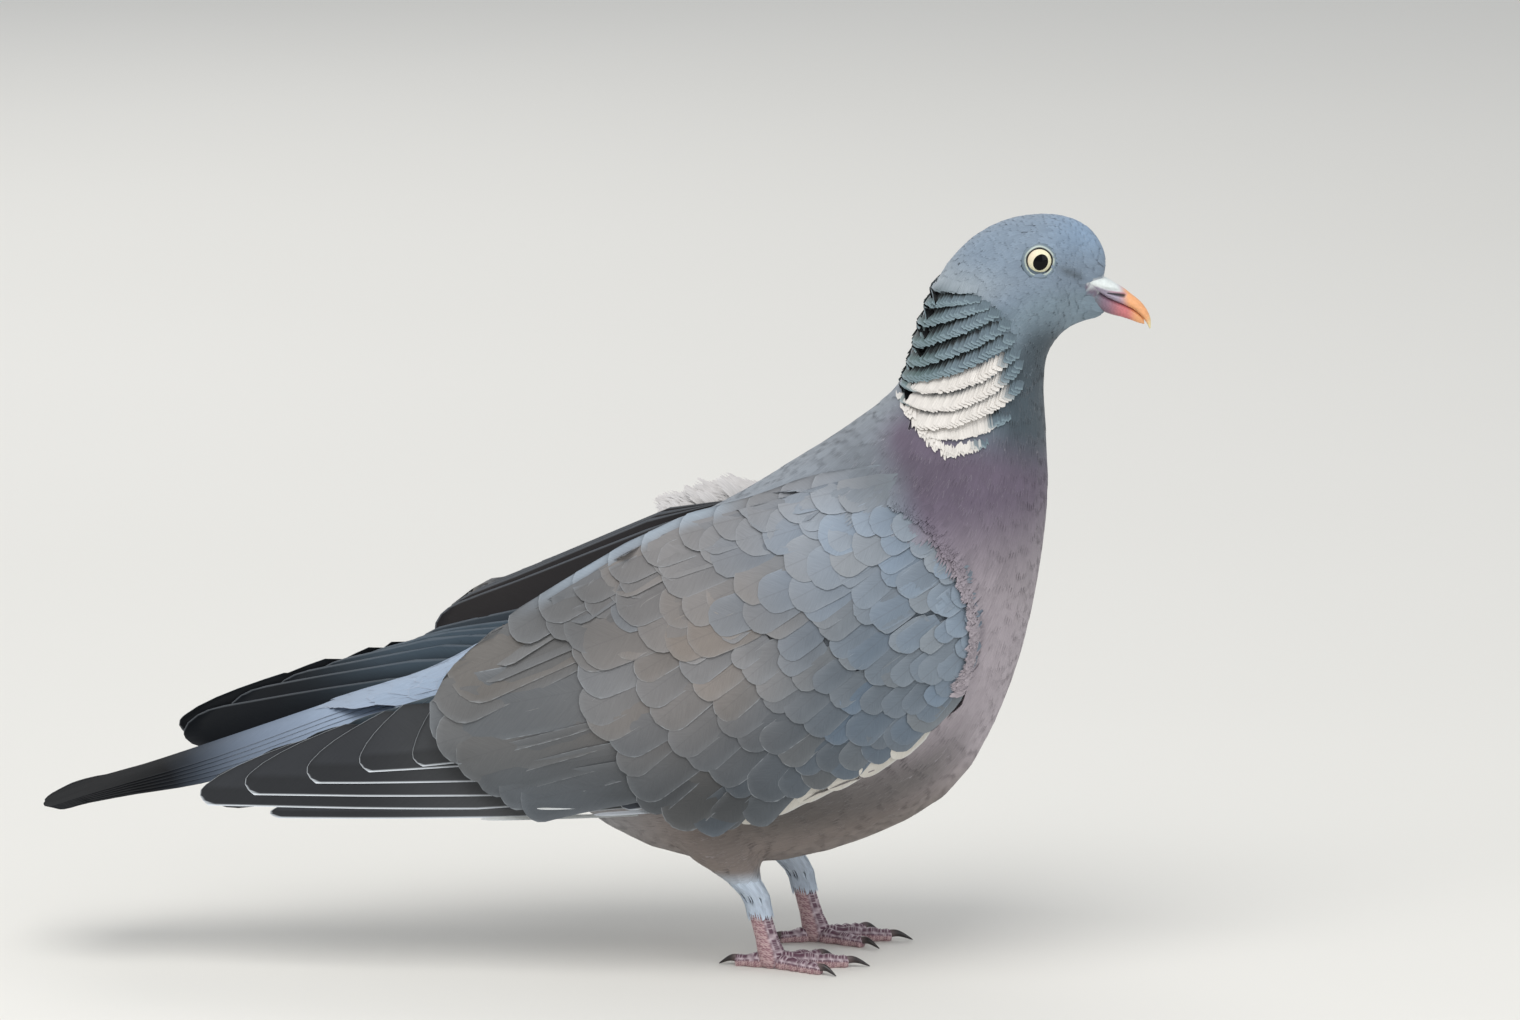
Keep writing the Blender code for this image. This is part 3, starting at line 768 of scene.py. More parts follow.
def plumage_paint(
    name, rim, rim_width, streak, roughness, bump, hairy=0.0, shaft=0.0,
    pale_border=0.0, worn_off=False, sheen=0.12,
):
    """Feather keratin: barb streaks, a worn pale rim and a shaft line."""
    material, tree, shader = new_material(name)
    shade = add_node(tree, "ShaderNodeAttribute", attribute_name="shade")
    vane = add_node(tree, "ShaderNodeAttribute", attribute_name="vane")
    lot = add_node(tree, "ShaderNodeAttribute", attribute_name="lot")
    place = tree.nodes.new("ShaderNodeSeparateXYZ")
    tree.links.new(vane.outputs["Vector"], place.inputs[0])
    side, along, edge = place.outputs

    def times(first, second):
        return math_node(tree, "MULTIPLY", first, second)

    def fading(value, low, high):
        return math_node(tree, "SUBTRACT", 1.0, ramp_between(tree, value, low, high))

    away = math_node(tree, "ABSOLUTE", side)
    slant = math_node(tree, "SUBTRACT", along, times(away, 1.2))
    barb = tree.nodes.new("ShaderNodeCombineXYZ")
    if hairy:
        run = times(side, hairy), times(along, 0.22)
    else:
        run = times(slant, 1.9), times(side, 0.3)
    for slot, value in enumerate((*run, times(lot.outputs["Fac"], 71.0))):
        tree.links.new(value, barb.inputs[slot])
    strands = add_node(tree, "ShaderNodeTexNoise", Scale=1.0, Detail=2.5)
    tree.links.new(barb.outputs[0], strands.inputs["Vector"])
    tint = math_node(tree, "MULTIPLY_ADD", strands.outputs[0], 2 * streak, 1.0 - streak)
    colour = tinted(tree, shade.outputs["Color"], tint)
    if shaft:
        quill = times(fading(away, 0.08, 0.28), shaft)
        colour = colour_mix(tree, quill, colour, tone(78, 76, 78))
    worn = fading(edge, 0.0, rim_width)
    if pale_border:
        border = times(fading(edge, 0.0, 2.6), pale_border)
        colour = colour_mix(tree, border, colour, tone(*rim))
    if worn_off:
        patchy = add_node(tree, "ShaderNodeTexNoise", Scale=0.35, Detail=1.0)
        tree.links.new(vane.outputs["Vector"], patchy.inputs["Vector"])
        worn = times(worn, ramp_between(tree, patchy.outputs[0], 0.34, 0.66))
    worn = times(worn, shade.outputs["Alpha"])
    colour = colour_mix(tree, worn, colour, tone(*rim))
    tree.links.new(colour, shader.inputs["Base Color"])
    add_relief(tree, shader, strands.outputs[0], bump, 0.2 * MM)
    shader.inputs["Roughness"].default_value = roughness
    shader.inputs["Specular IOR Level"].default_value = 0.3
    shader.inputs["Sheen Weight"].default_value = sheen
    shader.inputs["Sheen Roughness"].default_value = 0.5
    return material


# middle of the left eyeball, which the right one mirrors
EYE_CENTRE = np.array((140.7, 8.35, 226.5)) * MM


# Rows of stiff furrowed feathers on each side of the neck, from under the ear
# down: height of a row's tips at its middle, slope, bend and its two ends.
PATCH_MIDDLE = 115.0
PATCH_ROWS = (
    (216.0, 0.05, -0.004, 104.0, 119.5),
    (212.4, 0.20, -0.004, 102.5, 121.0),
    (208.4, 0.38, 0.000, 101.0, 123.0),
    (203.4, 0.45, 0.002, 100.0, 126.5),
    (197.6, 0.45, 0.004, 98.5, 129.5),
    (192.3, 0.42, 0.006, 98.0, 131.5),
    (186.8, 0.32, 0.012, 98.0, 133.0),
    (181.0, 0.30, 0.016, 98.5, 134.0),
    (176.0, 0.30, 0.012, 102.0, 134.0),
    (171.2, 0.10, 0.016, 107.0, 131.0),
    (165.8, 0.25, 0.010, 112.0, 124.0),
    (165.2, -0.085, 0.045, 97.5, 114.0),
)


def row_height(row, x):
    """Height in mm of a furrow's tips at a place along the bird."""
    middle, slope, bend = row[:3]
    return middle + slope * (x - PATCH_MIDDLE) + bend * (x - PATCH_MIDDLE) ** 2


def on_neck_patch(places):
    """Whether a place lies under the stiff feathers of the neck's sides."""
    x, z = places[:, 0] / MM, places[:, 2] / MM
    top = row_height(PATCH_ROWS[0], x) + 0.5
    bottom = row_height(PATCH_ROWS[9], x) + 3.5
    share = np.clip((top - z) / (top - bottom), 0.0, 1.0)
    right = 119.0 + (133.0 - 119.0) * share
    return (z < top) & (z > bottom) & (x < right) & (x > 99.5) & (np.abs(places[:, 1]) > 3.5 * MM)


def gap_to(surface, places):
    """Distance from each place to a surface."""
    return np.array([surface.tree.find_nearest(place)[3] for place in places])


def on_body(places, normals):
    """Whether a place is on body plumage, not on wing, eye, bill, foot, tail
    or neck patch."""
    keep = (places[:, 0] >= -0.052) & (places[:, 2] >= 0.0195)
    for side, sign in SIDES:
        ours = (places[:, 1] * sign > 0) & (places[:, 0] < 0.123)
        # not against the folded wing, nor under its outer face
        check = np.where(ours & (places[:, 2] < 0.165) & (places[:, 2] > 0.04))[0]
        keep[check[gap_to(wing_solid[side], places[check]) < 1.0 * MM]] = False
        for index in check[normals[check, 1] * sign > 0.25]:
            x, y, z = places[index]
            hit = wing_hit(side, sign, x, z)
            if hit is not None and abs(hit[1] - y) < WING_NEAR:
                keep[index] = False
    # not on the bare ring round the eye, nor on the cere
    eye = np.hypot(places[:, 0] - EYE_CENTRE[0], places[:, 2] - EYE_CENTRE[2])
    keep &= ~((eye < 4.7 * MM) & (np.abs(places[:, 1]) > 6 * MM))
    ahead = places[:, 0] / MM > face_line(places[:, 2] / MM) - 0.3
    keep &= ~(ahead & (places[:, 2] > 0.2))
    return keep & ~on_neck_patch(places)


def head_share(places):
    """1 on the head, 0 on the trunk, changing down the neck."""
    x, z = places[:, 0], places[:, 2]
    return smoothed(z - 0.30 * (x - 0.12), 0.168, 0.212) * smoothed(z, 0.15, 0.19)


def feather_spacing(places):
    """Root spacing: finest round the bill, widest on the back."""
    x, z = places[:, 0], places[:, 2]
    head = head_share(places)
    face = smoothed(x, 0.146, 0.158) * smoothed(z, 0.19, 0.205)
    shank = 1.0 - smoothed(z, 0.026, 0.042)
    spacing = 3.3 * MM * (1 - head) + 1.35 * MM * head
    spacing *= 1.0 - 0.35 * face
    return spacing * (1.0 - 0.45 * shank)


ROOT_TRIES = 90000
roots, _, spacing = scatter_roots(11, ROOT_TRIES, feather_spacing, on_body)
flow = along_body(roots)[1]
chance = np.random.default_rng(5)
flow = flow + 0.10 * chance.standard_normal(flow.shape)
# feathers near the middle line of a leg point down it, to the bare shank
leg_x = np.where(roots[:, 1] < 0, 0.0563, 0.0705) - 0.0049 - 0.7 * (roots[:, 2] - 0.023)
round_leg = np.hypot(roots[:, 0] - leg_x, np.abs(roots[:, 1]) - 0.020)
shank = (roots[:, 2] < 0.039) & (round_leg < 0.0085)
flow[shank] = flow[shank] * 0.3 + np.array((0.25, 0.0, -1.0))
length = spacing * chance.uniform(3.6, 4.6, len(roots))
width = spacing * chance.uniform(1.9, 2.5, len(roots))
length[shank] *= 1.15
brow = smoothed(roots[:, 0], 0.144, 0.150) * smoothed(roots[:, 2], 0.214, 0.220)
length *= 1.0 + 0.35 * brow

# no feather reaches over the eye: it stops at the bare ring
EYE_CLEAR = 4.75 * MM
from_eye = roots - EYE_CENTRE * np.where(roots[:, 1:2] > 0, 1.0, (1, -1, 1))
flat_aim = unit(flow[:, (0, 2)])
middle = -(from_eye[:, (0, 2)] * flat_aim).sum(1)
miss = (from_eye[:, (0, 2)] ** 2).sum(1) - middle**2
meets = (miss < EYE_CLEAR**2) & (middle > 0) & (np.abs(roots[:, 1]) > 8 * MM)
until = middle - np.sqrt(np.clip(EYE_CLEAR**2 - miss, 0.0, None))
length = np.where(meets & (until < length), np.maximum(until, 0.9 * MM), length)
width = np.minimum(width, np.maximum(length * 0.8, 1.5 * MM))

# places across and along one vane, for body and head
BODY_ACROSS = np.linspace(-1.0, 1.0, 13)
BODY_ROWS = np.array((0.0, 0.3, 0.55, 0.76, 1.0))
HEAD_ACROSS = np.linspace(-1.0, 1.0, 8)
HEAD_ROWS = np.array((0.0, 0.35, 0.68, 1.0))
soft_paint = plumage_paint(
    "soft_plumage", rim=(188, 184, 190), rim_width=0.4, hairy=2.6,
    streak=0.2, roughness=0.8, bump=0.5,
)
head_paint = plumage_paint(
    "head_plumage", rim=(160, 172, 184), rim_width=0.3, hairy=3.2,
    streak=0.14, roughness=0.75, bump=0.35,
)


def body_shade(points, up):
    """The body's markings at each place of some vanes."""
    return body_colour(points.reshape(-1, 3), up.reshape(-1, 3)).reshape(points.shape)


def small_feathers(name, chosen, rows, across, paint, heights, ragged):
    """One joined piece of the small feathers with the chosen roots."""
    chance = np.random.default_rng(len(chosen))
    fray = chance.random((len(chosen), len(across))) * 0.35 + 0.65
    fray *= np.where(np.arange(len(across)) % 2, 1.0, 0.15)[None]
    fray *= ragged * length[chosen][:, None]
    points, flat, up = drape_vanes(
        roots[chosen], flow[chosen], length[chosen], width[chosen],
        rows, across,
        {
            "heights": heights, "blunt": 1.3,
            "extra": chance.normal(0.0, 0.03 * MM, len(chosen))
            + 0.3 * MM * fringe[chosen],
        },
        fray,
    )
    shade = body_shade(points, up)
    vary = 1.0 + 0.03 * chance.standard_normal(len(chosen))
    # painted shade towards each feather's root, under the tips of those that overlap it
    root_shadow = 0.93 + 0.07 * smoothed(rows, 0.2, 0.75)
    shade = shade * vary[:, None, None, None] * root_shadow[None, :, None, None]
    rim = chance.uniform(0.05, 0.3, len(chosen))
    piece = make_vanes(name, points, flat, shade, rim, roots[chosen], up, 0.08)
    piece.data.materials.append(paint)
    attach(piece, "root")


# feathers close above the folded wing turn back and down over its edge
edge_gap = np.full(len(roots), 1.0)
for side, sign in SIDES:
    ours = np.where((roots[:, 1] * sign > 0) & (roots[:, 0] > -0.03)
                    & (roots[:, 0] < 0.14) & (roots[:, 2] < 0.17))[0]
    edge_gap[ours] = gap_to(wing_solid[side], roots[ours])
fringe = 1.0 - smoothed(edge_gap, 4.0 * MM, 11.0 * MM)
fringe *= smoothed(roots[:, 2] + 0.35 * roots[:, 0], 0.105, 0.115)
flow = flow + 0.9 * fringe[:, None] * np.array((-1.0, 0.0, -0.55))
on_head = head_share(roots) > 0.5
back = ~on_head & (np.cos(along_body(roots)[2]) > 0.15) & ~shank
front = ~on_head & ~back & ~shank & (roots[:, 0] > 0.075)
belly = ~on_head & ~back & ~shank & ~front
small_feathers(
    "head_feathers", np.where(on_head)[0], HEAD_ROWS, HEAD_ACROSS, head_paint,
    (-0.16 * MM, 0.03 * MM), 0.2,
)
for name, where, slot in (
    ("mantle_and_rump_feathers", back, "plumage_body"),
    ("breast_feathers", front, "plumage_body"),
    ("belly_feathers", belly, "plumage_body"),
    ("shank_feathers", shank & ~on_head, "plumage_shank"),
):
    small_feathers(
        name, np.where(where)[0], BODY_ROWS, BODY_ACROSS, soft_paint,
        (-0.14 * MM, 0.03 * MM), 0.32,
    )

# ---------------------------------------------------------------------------
# Neck patch: stiff squared feathers in slanting rows, each row's tips raised
# over the next so that dark furrows show, deepened by painted shadow at the
# foot of each row. Upper rows are glossy green-black with slate tips, lower
# rows cream white, with small slate ones in front.
# ---------------------------------------------------------------------------
PATCH_LENGTH = 9.0
PATCH_WIDTH = 2.9
PATCH_STEP = 1.1
PATCH_ACROSS = np.linspace(-1.0, 1.0, 7)
PATCH_VANE_ROWS = np.array((0.0, 0.35, 0.55, 0.68, 0.8, 0.9, 1.0))
# where cream white shows in each row, from front and back
CREAM_SPAN = (
    None, None, None, None, None, None, (101.5, 128.0), (99.0, 128.0),
    (99.0, 130.0), (104.0, 125.5), (100.0, 121.0), (97.0, 113.0),
)
PATCH_BLACK = tone(14, 22, 24)
PATCH_SLATE = tone(96, 112, 122)
PATCH_GREEN = tone(84, 104, 104)
PATCH_TIP = tone(138, 158, 166)
PATCH_CREAM = tone(220, 215, 209)
PATCH_CREAM_ROOT = tone(110, 112, 114)


def from_side_mm(surface, x, z, sign, wrap="above"):
    """Points of a surface seen from one side at places given in mm. A place
    off its outline goes over the edge by as much as it stands off it."""
    hits = np.stack([x.ravel(), np.zeros(x.size), z.ravel()], 1) * MM
    normals = np.zeros_like(hits)
    missed = np.zeros(len(hits), bool)
    aim = (0.0, -sign, 0.0)
    for index, (px, _, pz) in enumerate(hits.tolist()):
        hit, _, face, _ = surface.tree.ray_cast((px, sign * 0.2, pz), aim)
        if hit is None:
            hit, _, face, _ = surface.tree.find_nearest((px, sign * 0.04, pz))
            off = math.hypot(px - hit[0], pz - hit[2])
            over = pz > hit[2] + 0.3 * MM or wrap == "all"
            missed[index] = over
            if over and wrap != "mark":
                turn = (hit[0], hit[1] - sign * off, hit[2])
                hit, _, face, _ = surface.tree.find_nearest(turn)
                hits[index] = hit
        hits[index, 1] = hit[1]
        normals[index] = surface.face_normals[face]
    shape = x.shape + (3,)
    return hits.reshape(shape), normals.reshape(shape), missed.reshape(x.shape)


def seen_places(root, aim, along, over):
    """Where places along and beside some shafts are seen from the side."""
    down = np.stack([-aim[:, 1], aim[:, 0]], 1)
    return [
        root[:, k, None, None] + along * aim[:, k, None, None]
        + over * down[:, k, None, None] for k in (0, 1)
    ]


patch_paint = plumage_paint(
    "neck_patch_plumage", rim=(150, 172, 176), rim_width=0.35, hairy=3.6,
    streak=0.22, roughness=0.5, bump=0.6,
)


def make_neck_patch(side, sign):
    """All furrow rows of one side of the neck."""
    chance = np.random.default_rng(31)
    laid = []
    for index, row in enumerate(PATCH_ROWS):
        steps = np.arange(row[3], row[4] + 0.1, PATCH_STEP)
        steps = steps + chance.uniform(-0.3, 0.3, len(steps))
        height = row_height(row, steps) + 0.16 * chance.standard_normal(len(steps))
        white = np.zeros(len(steps))
        if CREAM_SPAN[index]:
            start, stop = CREAM_SPAN[index]
            white = smoothed(steps, start - 1.5, start + 1.5)
            white *= 1.0 - smoothed(steps, stop - 1.5, stop + 1.5)
        ends = smoothed(steps, row[3] - 3.0, row[3] + 4.0)
        ends = ends * (1.0 - smoothed(steps, row[4] - 7.0, row[4] + 2.0))
        lowest = index > 8
        laid.append(np.array(np.broadcast_arrays(
            steps, height, white, 0.1 if lowest else -0.25 - 0.02 * index,
            PATCH_LENGTH * (0.8 if index < 2 else 1.0),
            0.15 + 0.2 * ends if lowest else 0.25 + 0.75 * ends,
            (0.4, 0.9, 2.0)[min(max(index - 8, 0), 2)], index,
        ), float))
    x, z, cream, aim_x, reach, lift, ragged, order = np.concatenate(laid, axis=1)
    aim = unit(np.stack([aim_x, -np.ones_like(aim_x)], 1))
    across, rows = PATCH_ACROSS, PATCH_VANE_ROWS
    half = np.full(len(x), PATCH_WIDTH / 2) * chance.uniform(0.9, 1.15, len(x))
    fray = chance.random((len(x), len(across))) * ragged[:, None]
    ends = columns_end(across, reach, half, 0.15, fray)
    along = rows[None, :, None] * ends[:, None, :]
    over = vane_sides(across, rows, 0.6, half)
    px, pz = seen_places(np.stack([x, z], 1) - aim * reach[:, None], aim, along, over)
    base, up, _ = from_side_mm(form, px, pz, sign, "all")
    rise = rows[None, :, None] ** 1.5
    height = -0.7 + (0.7 + 1.45 * lift[:, None, None]) * rise - 0.02 * across**2
    points = base + up * height[..., None] * MM
    # painted furrow shadow over the feathers' own dark bases: each vane black from its root to
    # partway up, under the row above, more of it towards the back, then slate or green
    depth = chance.uniform(-0.05, 0.05, len(x))[:, None]
    behind = 0.14 * smoothed(-x, -121, -105)[:, None]
    ramp = smoothed(rows[None] + depth - behind, 0.52, 0.72)[:, :, None, None]
    rear = smoothed(-x, -116, -102)[:, None, None, None]
    dark = toward(PATCH_BLACK, toward(PATCH_SLATE, PATCH_GREEN, rear), ramp)
    tipped = 0.8 * smoothed(rows, 0.9, 1.02)[None, :, None, None]
    dark = toward(dark, PATCH_TIP, tipped)
    # cream rows are grey at the root, painted shadow under the row above; the lowest rows lie
    # closer, so their cream begins nearer the root
    begins = np.where(order > 8, 0.12, 0.4)[:, None, None, None]
    grown = smoothed(rows[None, :, None, None] - begins, 0.0, 0.2)
    pale = toward(PATCH_CREAM_ROOT, PATCH_CREAM, grown)
    shade = toward(dark, pale, cream[:, None, None, None])
    shade = np.where((order == 0)[:, None, None, None], body_shade(points, up), shade)
    shade = shade * chance.uniform(0.95, 1.04, len(x))[:, None, None, None]
    rim = 0.12 * (1 - cream)
    edge = np.minimum(half[:, None, None] - np.abs(over), ends[:, None] - along)
    flat = np.stack([over, along, edge], -1)
    roots_here = points[:, 0, len(across) // 2]
    piece = make_vanes("neck_patch_" + side, points, flat, shade, rim, roots_here, up, 0.3)
    piece.data.materials.append(patch_paint)
    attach(piece, "root")


for side, sign in SIDES:
    make_neck_patch(side, sign)

# ---------------------------------------------------------------------------
# Wing coverts, scapulars and inner flight feathers of the folded wings: broad
# firm vanes in rows from the shoulder back, each overlapping the one below
# it and the row behind, brown-grey above and blue-grey towards the bend.
# ---------------------------------------------------------------------------
# row: count, length, width and slant from its upper to its lower end, lift,
# then the line of its tips on the right wing, all in mm and degrees
WING_TRACTS = {
    "tertial_feathers": (
        (10, (70, 64), (19, 15), (26, 8), 0.0,
         ((-37, 107), (-45, 97), (-51.4, 87), (-50, 79.5), (-46, 73),
          (-40, 67), (-32, 62), (-24, 59))),
    ),
    "greater_coverts": (
        (13, (40, 30), (14.5, 10), (25, 48), 0.35,
         ((-11, 112), (-8, 104), (-5, 92), (2, 80), (9, 69), (15, 58),
          (22, 51.5), (36, 48), (48, 50.5))),
    ),
    "median_coverts": (
        (14, (25, 22), (12.5, 9.5), (28, 50), 0.55,
         ((4, 124), (8, 112), (12, 98), (19, 85), (27, 75), (36, 67),
          (48, 60), (62, 60), (76, 65.5))),
        (15, (20, 18), (11.5, 8.5), (30, 50), 0.7,
         ((22, 118), (26, 106), (33, 93), (42, 84), (53, 76), (66, 70), (80, 70), (92, 75.5))),
    ),
    "lesser_coverts": (
        (15, (16, 14), (9.5, 7.5), (32, 48), 0.75,
         ((36, 122), (40, 112), (46, 101), (55, 91), (66, 84), (79, 79), (93, 79), (104, 85))),
        (15, (14, 12), (8.5, 6.5), (34, 46), 0.8,
         ((50, 124), (55, 112), (61, 103), (70, 95), (81, 90), (94, 88), (106, 91), (113, 97.5))),
        (15, (15, 13), (8, 7), (34, 42), 0.85,
         ((64, 126), (70, 115), (76, 107), (85, 101), (96, 98), (107, 100), (117, 107))),
        (12, (14, 12), (7.5, 6.5), (32, 38), 0.9,
         ((78, 128), (84, 118), (91, 112), (100, 109), (110, 111), (119, 118))),
        (10, (13, 12), (7.5, 6.5), (28, 34), 0.9,
         ((90, 134), (96, 125), (104, 120), (112, 121), (119.5, 127))),
        (7, (12, 11), (7, 6.5), (24, 30), 0.9, ((98, 139), (104, 133), (110, 131), (115, 134))),
    ),
    "scapulars": (
        (4, (42, 38), (17, 14), (28, 20), 1.0, ((-18, 126), (-14, 120), (-10, 113), (-2, 105))),
        (6, (32, 28), (14.5, 12.5), (26, 24), 1.1,
         ((-2, 137), (2, 131), (4, 124), (10, 116), (20, 110), (32, 111))),
        (6, (27, 23), (13.5, 11.5), (20, 26), 1.2,
         ((14, 144), (18, 138), (20, 131), (26, 122), (36, 117), (47, 117.5))),
        (6, (23, 20), (12.5, 10.5), (15, 28), 1.3,
         ((29, 149), (33, 145), (36, 138), (42, 129), (52, 123), (61, 125))),
        (6, (20, 17), (11.5, 10), (12, 30), 1.35,
         ((44, 151.5), (48, 148), (52, 142), (58, 135), (67, 130), (76, 131.5))),
        (6, (17, 15), (10.5, 9), (12, 30), 1.4,
         ((58, 153), (62, 151), (67, 146), (74, 140), (84, 137), (90, 139.5))),
        (4, (15, 13), (9.5, 8.5), (14, 28), 1.4, ((76, 152), (80, 149), (86, 146), (94, 143.5))),
    ),
}
LEFT_LIFT = np.array((
    (-134.0, 13.0), (-90.0, 12.4), (-51.0, 10.4), (-24.0, 4.4),
    (10.0, -2.2), (40.0, -6.2), (75.0, -4.6), (122.0, 0.0),
))
COVERT_ACROSS = np.array((-1.0, -0.93, -0.78, -0.5, -0.2, 0.0, 0.2, 0.5, 0.78, 0.93, 1.0))
COVERT_ROWS = np.array((0.0, 0.3, 0.5, 0.66, 0.78, 0.88, 0.95, 1.0))
WING_EDGE = (176, 182, 188)
# front edge of the wing, where the breast feathers begin to cover it
WING_FRONT = (
    (95, 154), (103, 150), (109, 144), (114.5, 136), (118.5, 127), (120.6, 117),
    (120.6, 108), (118, 99), (113.5, 91), (107, 84.5), (99, 79),
)


def evened(values, rounds):
    """Rows smoothed with their neighbours, the first and last kept."""
    for _ in range(rounds):
        values[1:-1] = (values[:-2] + 2 * values[1:-1] + values[2:]) / 4
    return values


def lifted(x, side):
    """How far the left wing is carried above the right one, in mm."""
    if side == "right":
        return np.zeros_like(x)
    return at_x(LEFT_LIFT, x)


def even_line(points, count):
    """Evenly spaced places on a smooth line, and how far along each is."""
    points = np.array(points, float)
    ends = np.concatenate([[2 * points[0] - points[1]], points, [2 * points[-1] - points[-2]]])
    line = []
    for index in range(len(points) - 1):
        a, b, c, d = ends[index:index + 4]
        t = np.linspace(0, 1, 12, endpoint=False)[:, None]
        line.append(
            b + 0.5 * t * (c - a + t * (2 * a - 5 * b + 4 * c - d + t * (3 * (b - c) + d - a)))
        )
    line = np.concatenate(line + [points[-1:]])
    reach = np.concatenate([[0.0], np.cumsum(np.linalg.norm(np.diff(line, axis=0), axis=1))])
    at = np.linspace(0.0, reach[-1], count)
    spots = np.stack([np.interp(at, reach, line[:, k]) for k in (0, 1)], 1)
    return spots, at / reach[-1]


# upper edge of the wing behind the shoulder, where it stands off the back
WING_TOP = np.array((
    (-51.0, 88.4), (-47.0, 97.0), (-40.0, 104.2), (-24.0, 117.2),
    (-8.0, 127.2), (10.0, 138.0), (30.0, 147.6), (60.0, 156.0),
    (72.0, 159.5), (92.0, 164.0),
))


def wing_face(side, sign, px, pz):
    """Outer face of a folded wing at places seen from the side, in mm."""
    top = at_x(WING_TOP, px) + lifted(px, side)
    pz = np.minimum(pz, top + 0.5 - 2.9 * smoothed(px, -34, -24))
    px = np.maximum(px, -51.8)
    base, up, missed = from_side_mm(form, px, pz, sign)
    wing, _, over = from_side_mm(wing_solid[side], px, pz, sign, "mark")
    past = (px < 51) & (over | (base[..., 1] * sign < wing[..., 1] * sign - 6 * MM))
    past &= pz > top - 14
    base[past, 1] = wing[past, 1]
    base[past, 2] = pz[past] * MM
    base[past, 0] = px[past] * MM
    up[past] = (0.0, sign, 0.0)
    missed |= past
    least = np.where(over, -1.0, wing[..., 1] * sign - 0.4 * MM)
    level = np.where(missed, 0.0, 1.0)
    raised = np.maximum(base[..., 1] * sign, least) * sign
    base[..., 1] = np.where(missed, base[..., 1], raised)
    # the tips of the tertials stand a little off the long feathers under them
    base[..., 1] += sign * 1.3 * MM * smoothed(-px, 35, 42)
    up = unit(up + level[..., None] * np.array((0.0, 0.9 * sign, 0.0)))
    return base, up, missed


def fit_smooth(along, over, values, good):
    """Each vane's values replaced by a smooth curved sheet through them."""
    out = np.empty_like(values)
    for index in range(len(values)):
        s = along[index].ravel() / (np.abs(along[index]).max() + 1e-9)
        c = over[index].ravel() / (np.abs(over[index]).max() + 1e-9)
        terms = np.stack([np.ones_like(s), s, c, s * s, s * c, c * c, s**3, s * s * c], 1)
        use = good[index].ravel()
        answer = np.linalg.lstsq(terms[use], values[index].ravel()[use], rcond=None)[0]
        out[index] = (terms @ answer).reshape(values[index].shape)
    return out


def wing_vanes(side, sign, tips, slant, reach, wide, settings):
    """Lays vanes on a wing from their tips: points, vane places, places seen
    from the side on the right wing, and normals."""
    rows = settings.get("rows", COVERT_ROWS)
    across = settings.get("across", COVERT_ACROSS)
    slant = np.radians(slant)
    aim = np.stack([-np.cos(slant), -np.sin(slant)], 1)
    half = wide / 2
    ends = settings.get("ends")
    if ends is None:
        ends = columns_end(
            across, reach, half, settings.get("blunt", 0.85),
            settings.get("fray", 0.0),
        )
    along = rows[None, :, None] * ends[:, None, :]
    narrow = settings.get("root", 0.55)
    over = vane_sides(across, rows, narrow, half)
    share = along / reach[:, None, None]
    bend = settings.get("bend", 0.0) * (share**2 - 1) * reach[:, None, None]
    px, pz = seen_places(tips - aim * reach[:, None], aim, along, over + bend)
    seen = np.stack([px, pz], -1)
    pz = pz + lifted(px, side)
    base, up, missed = settings.get("face", wing_face)(side, sign, px, pz)
    if settings.get("fit", True):
        whole = ~(missed & (px > 51)).any(axis=(1, 2))
        whole &= (~missed).mean(axis=(1, 2)) > 0.3
        flatter = fit_smooth(along[whole], over[whole], base[whole, ..., 1], ~missed[whole])
        raw = base[whole, ..., 1]
        near = np.where(missed[whole], 0.6 * MM, 9.0 * MM)
        flatter = np.clip(flatter, raw - near, raw + near)
        base[whole, ..., 1] = np.maximum(flatter * sign, raw * sign - 0.5 * MM) * sign
    low_at, high_at = settings["heights"]
    lift = settings.get("lift", np.zeros(len(tips)))[:, None, None]
    height = low_at + (high_at - low_at) * rows[None, :, None] ** 1.1 + lift
    height = height + settings.get("tilt", 0.10) * across[None, None]
    height = height - settings.get("camber", 0.14) * across[None, None] ** 2
    points = base + up * height[..., None] * MM
    edge = np.minimum(vane_sides(1 - np.abs(across), rows, narrow, half), ends[:, None] - along)
    return points, np.stack([over, along, edge], -1), seen, up


covert_paint = plumage_paint(
    "covert_plumage", rim=WING_EDGE, rim_width=0.45, streak=0.12,
    shaft=0.14, roughness=0.7, bump=0.35, pale_border=0.06, worn_off=True,
)


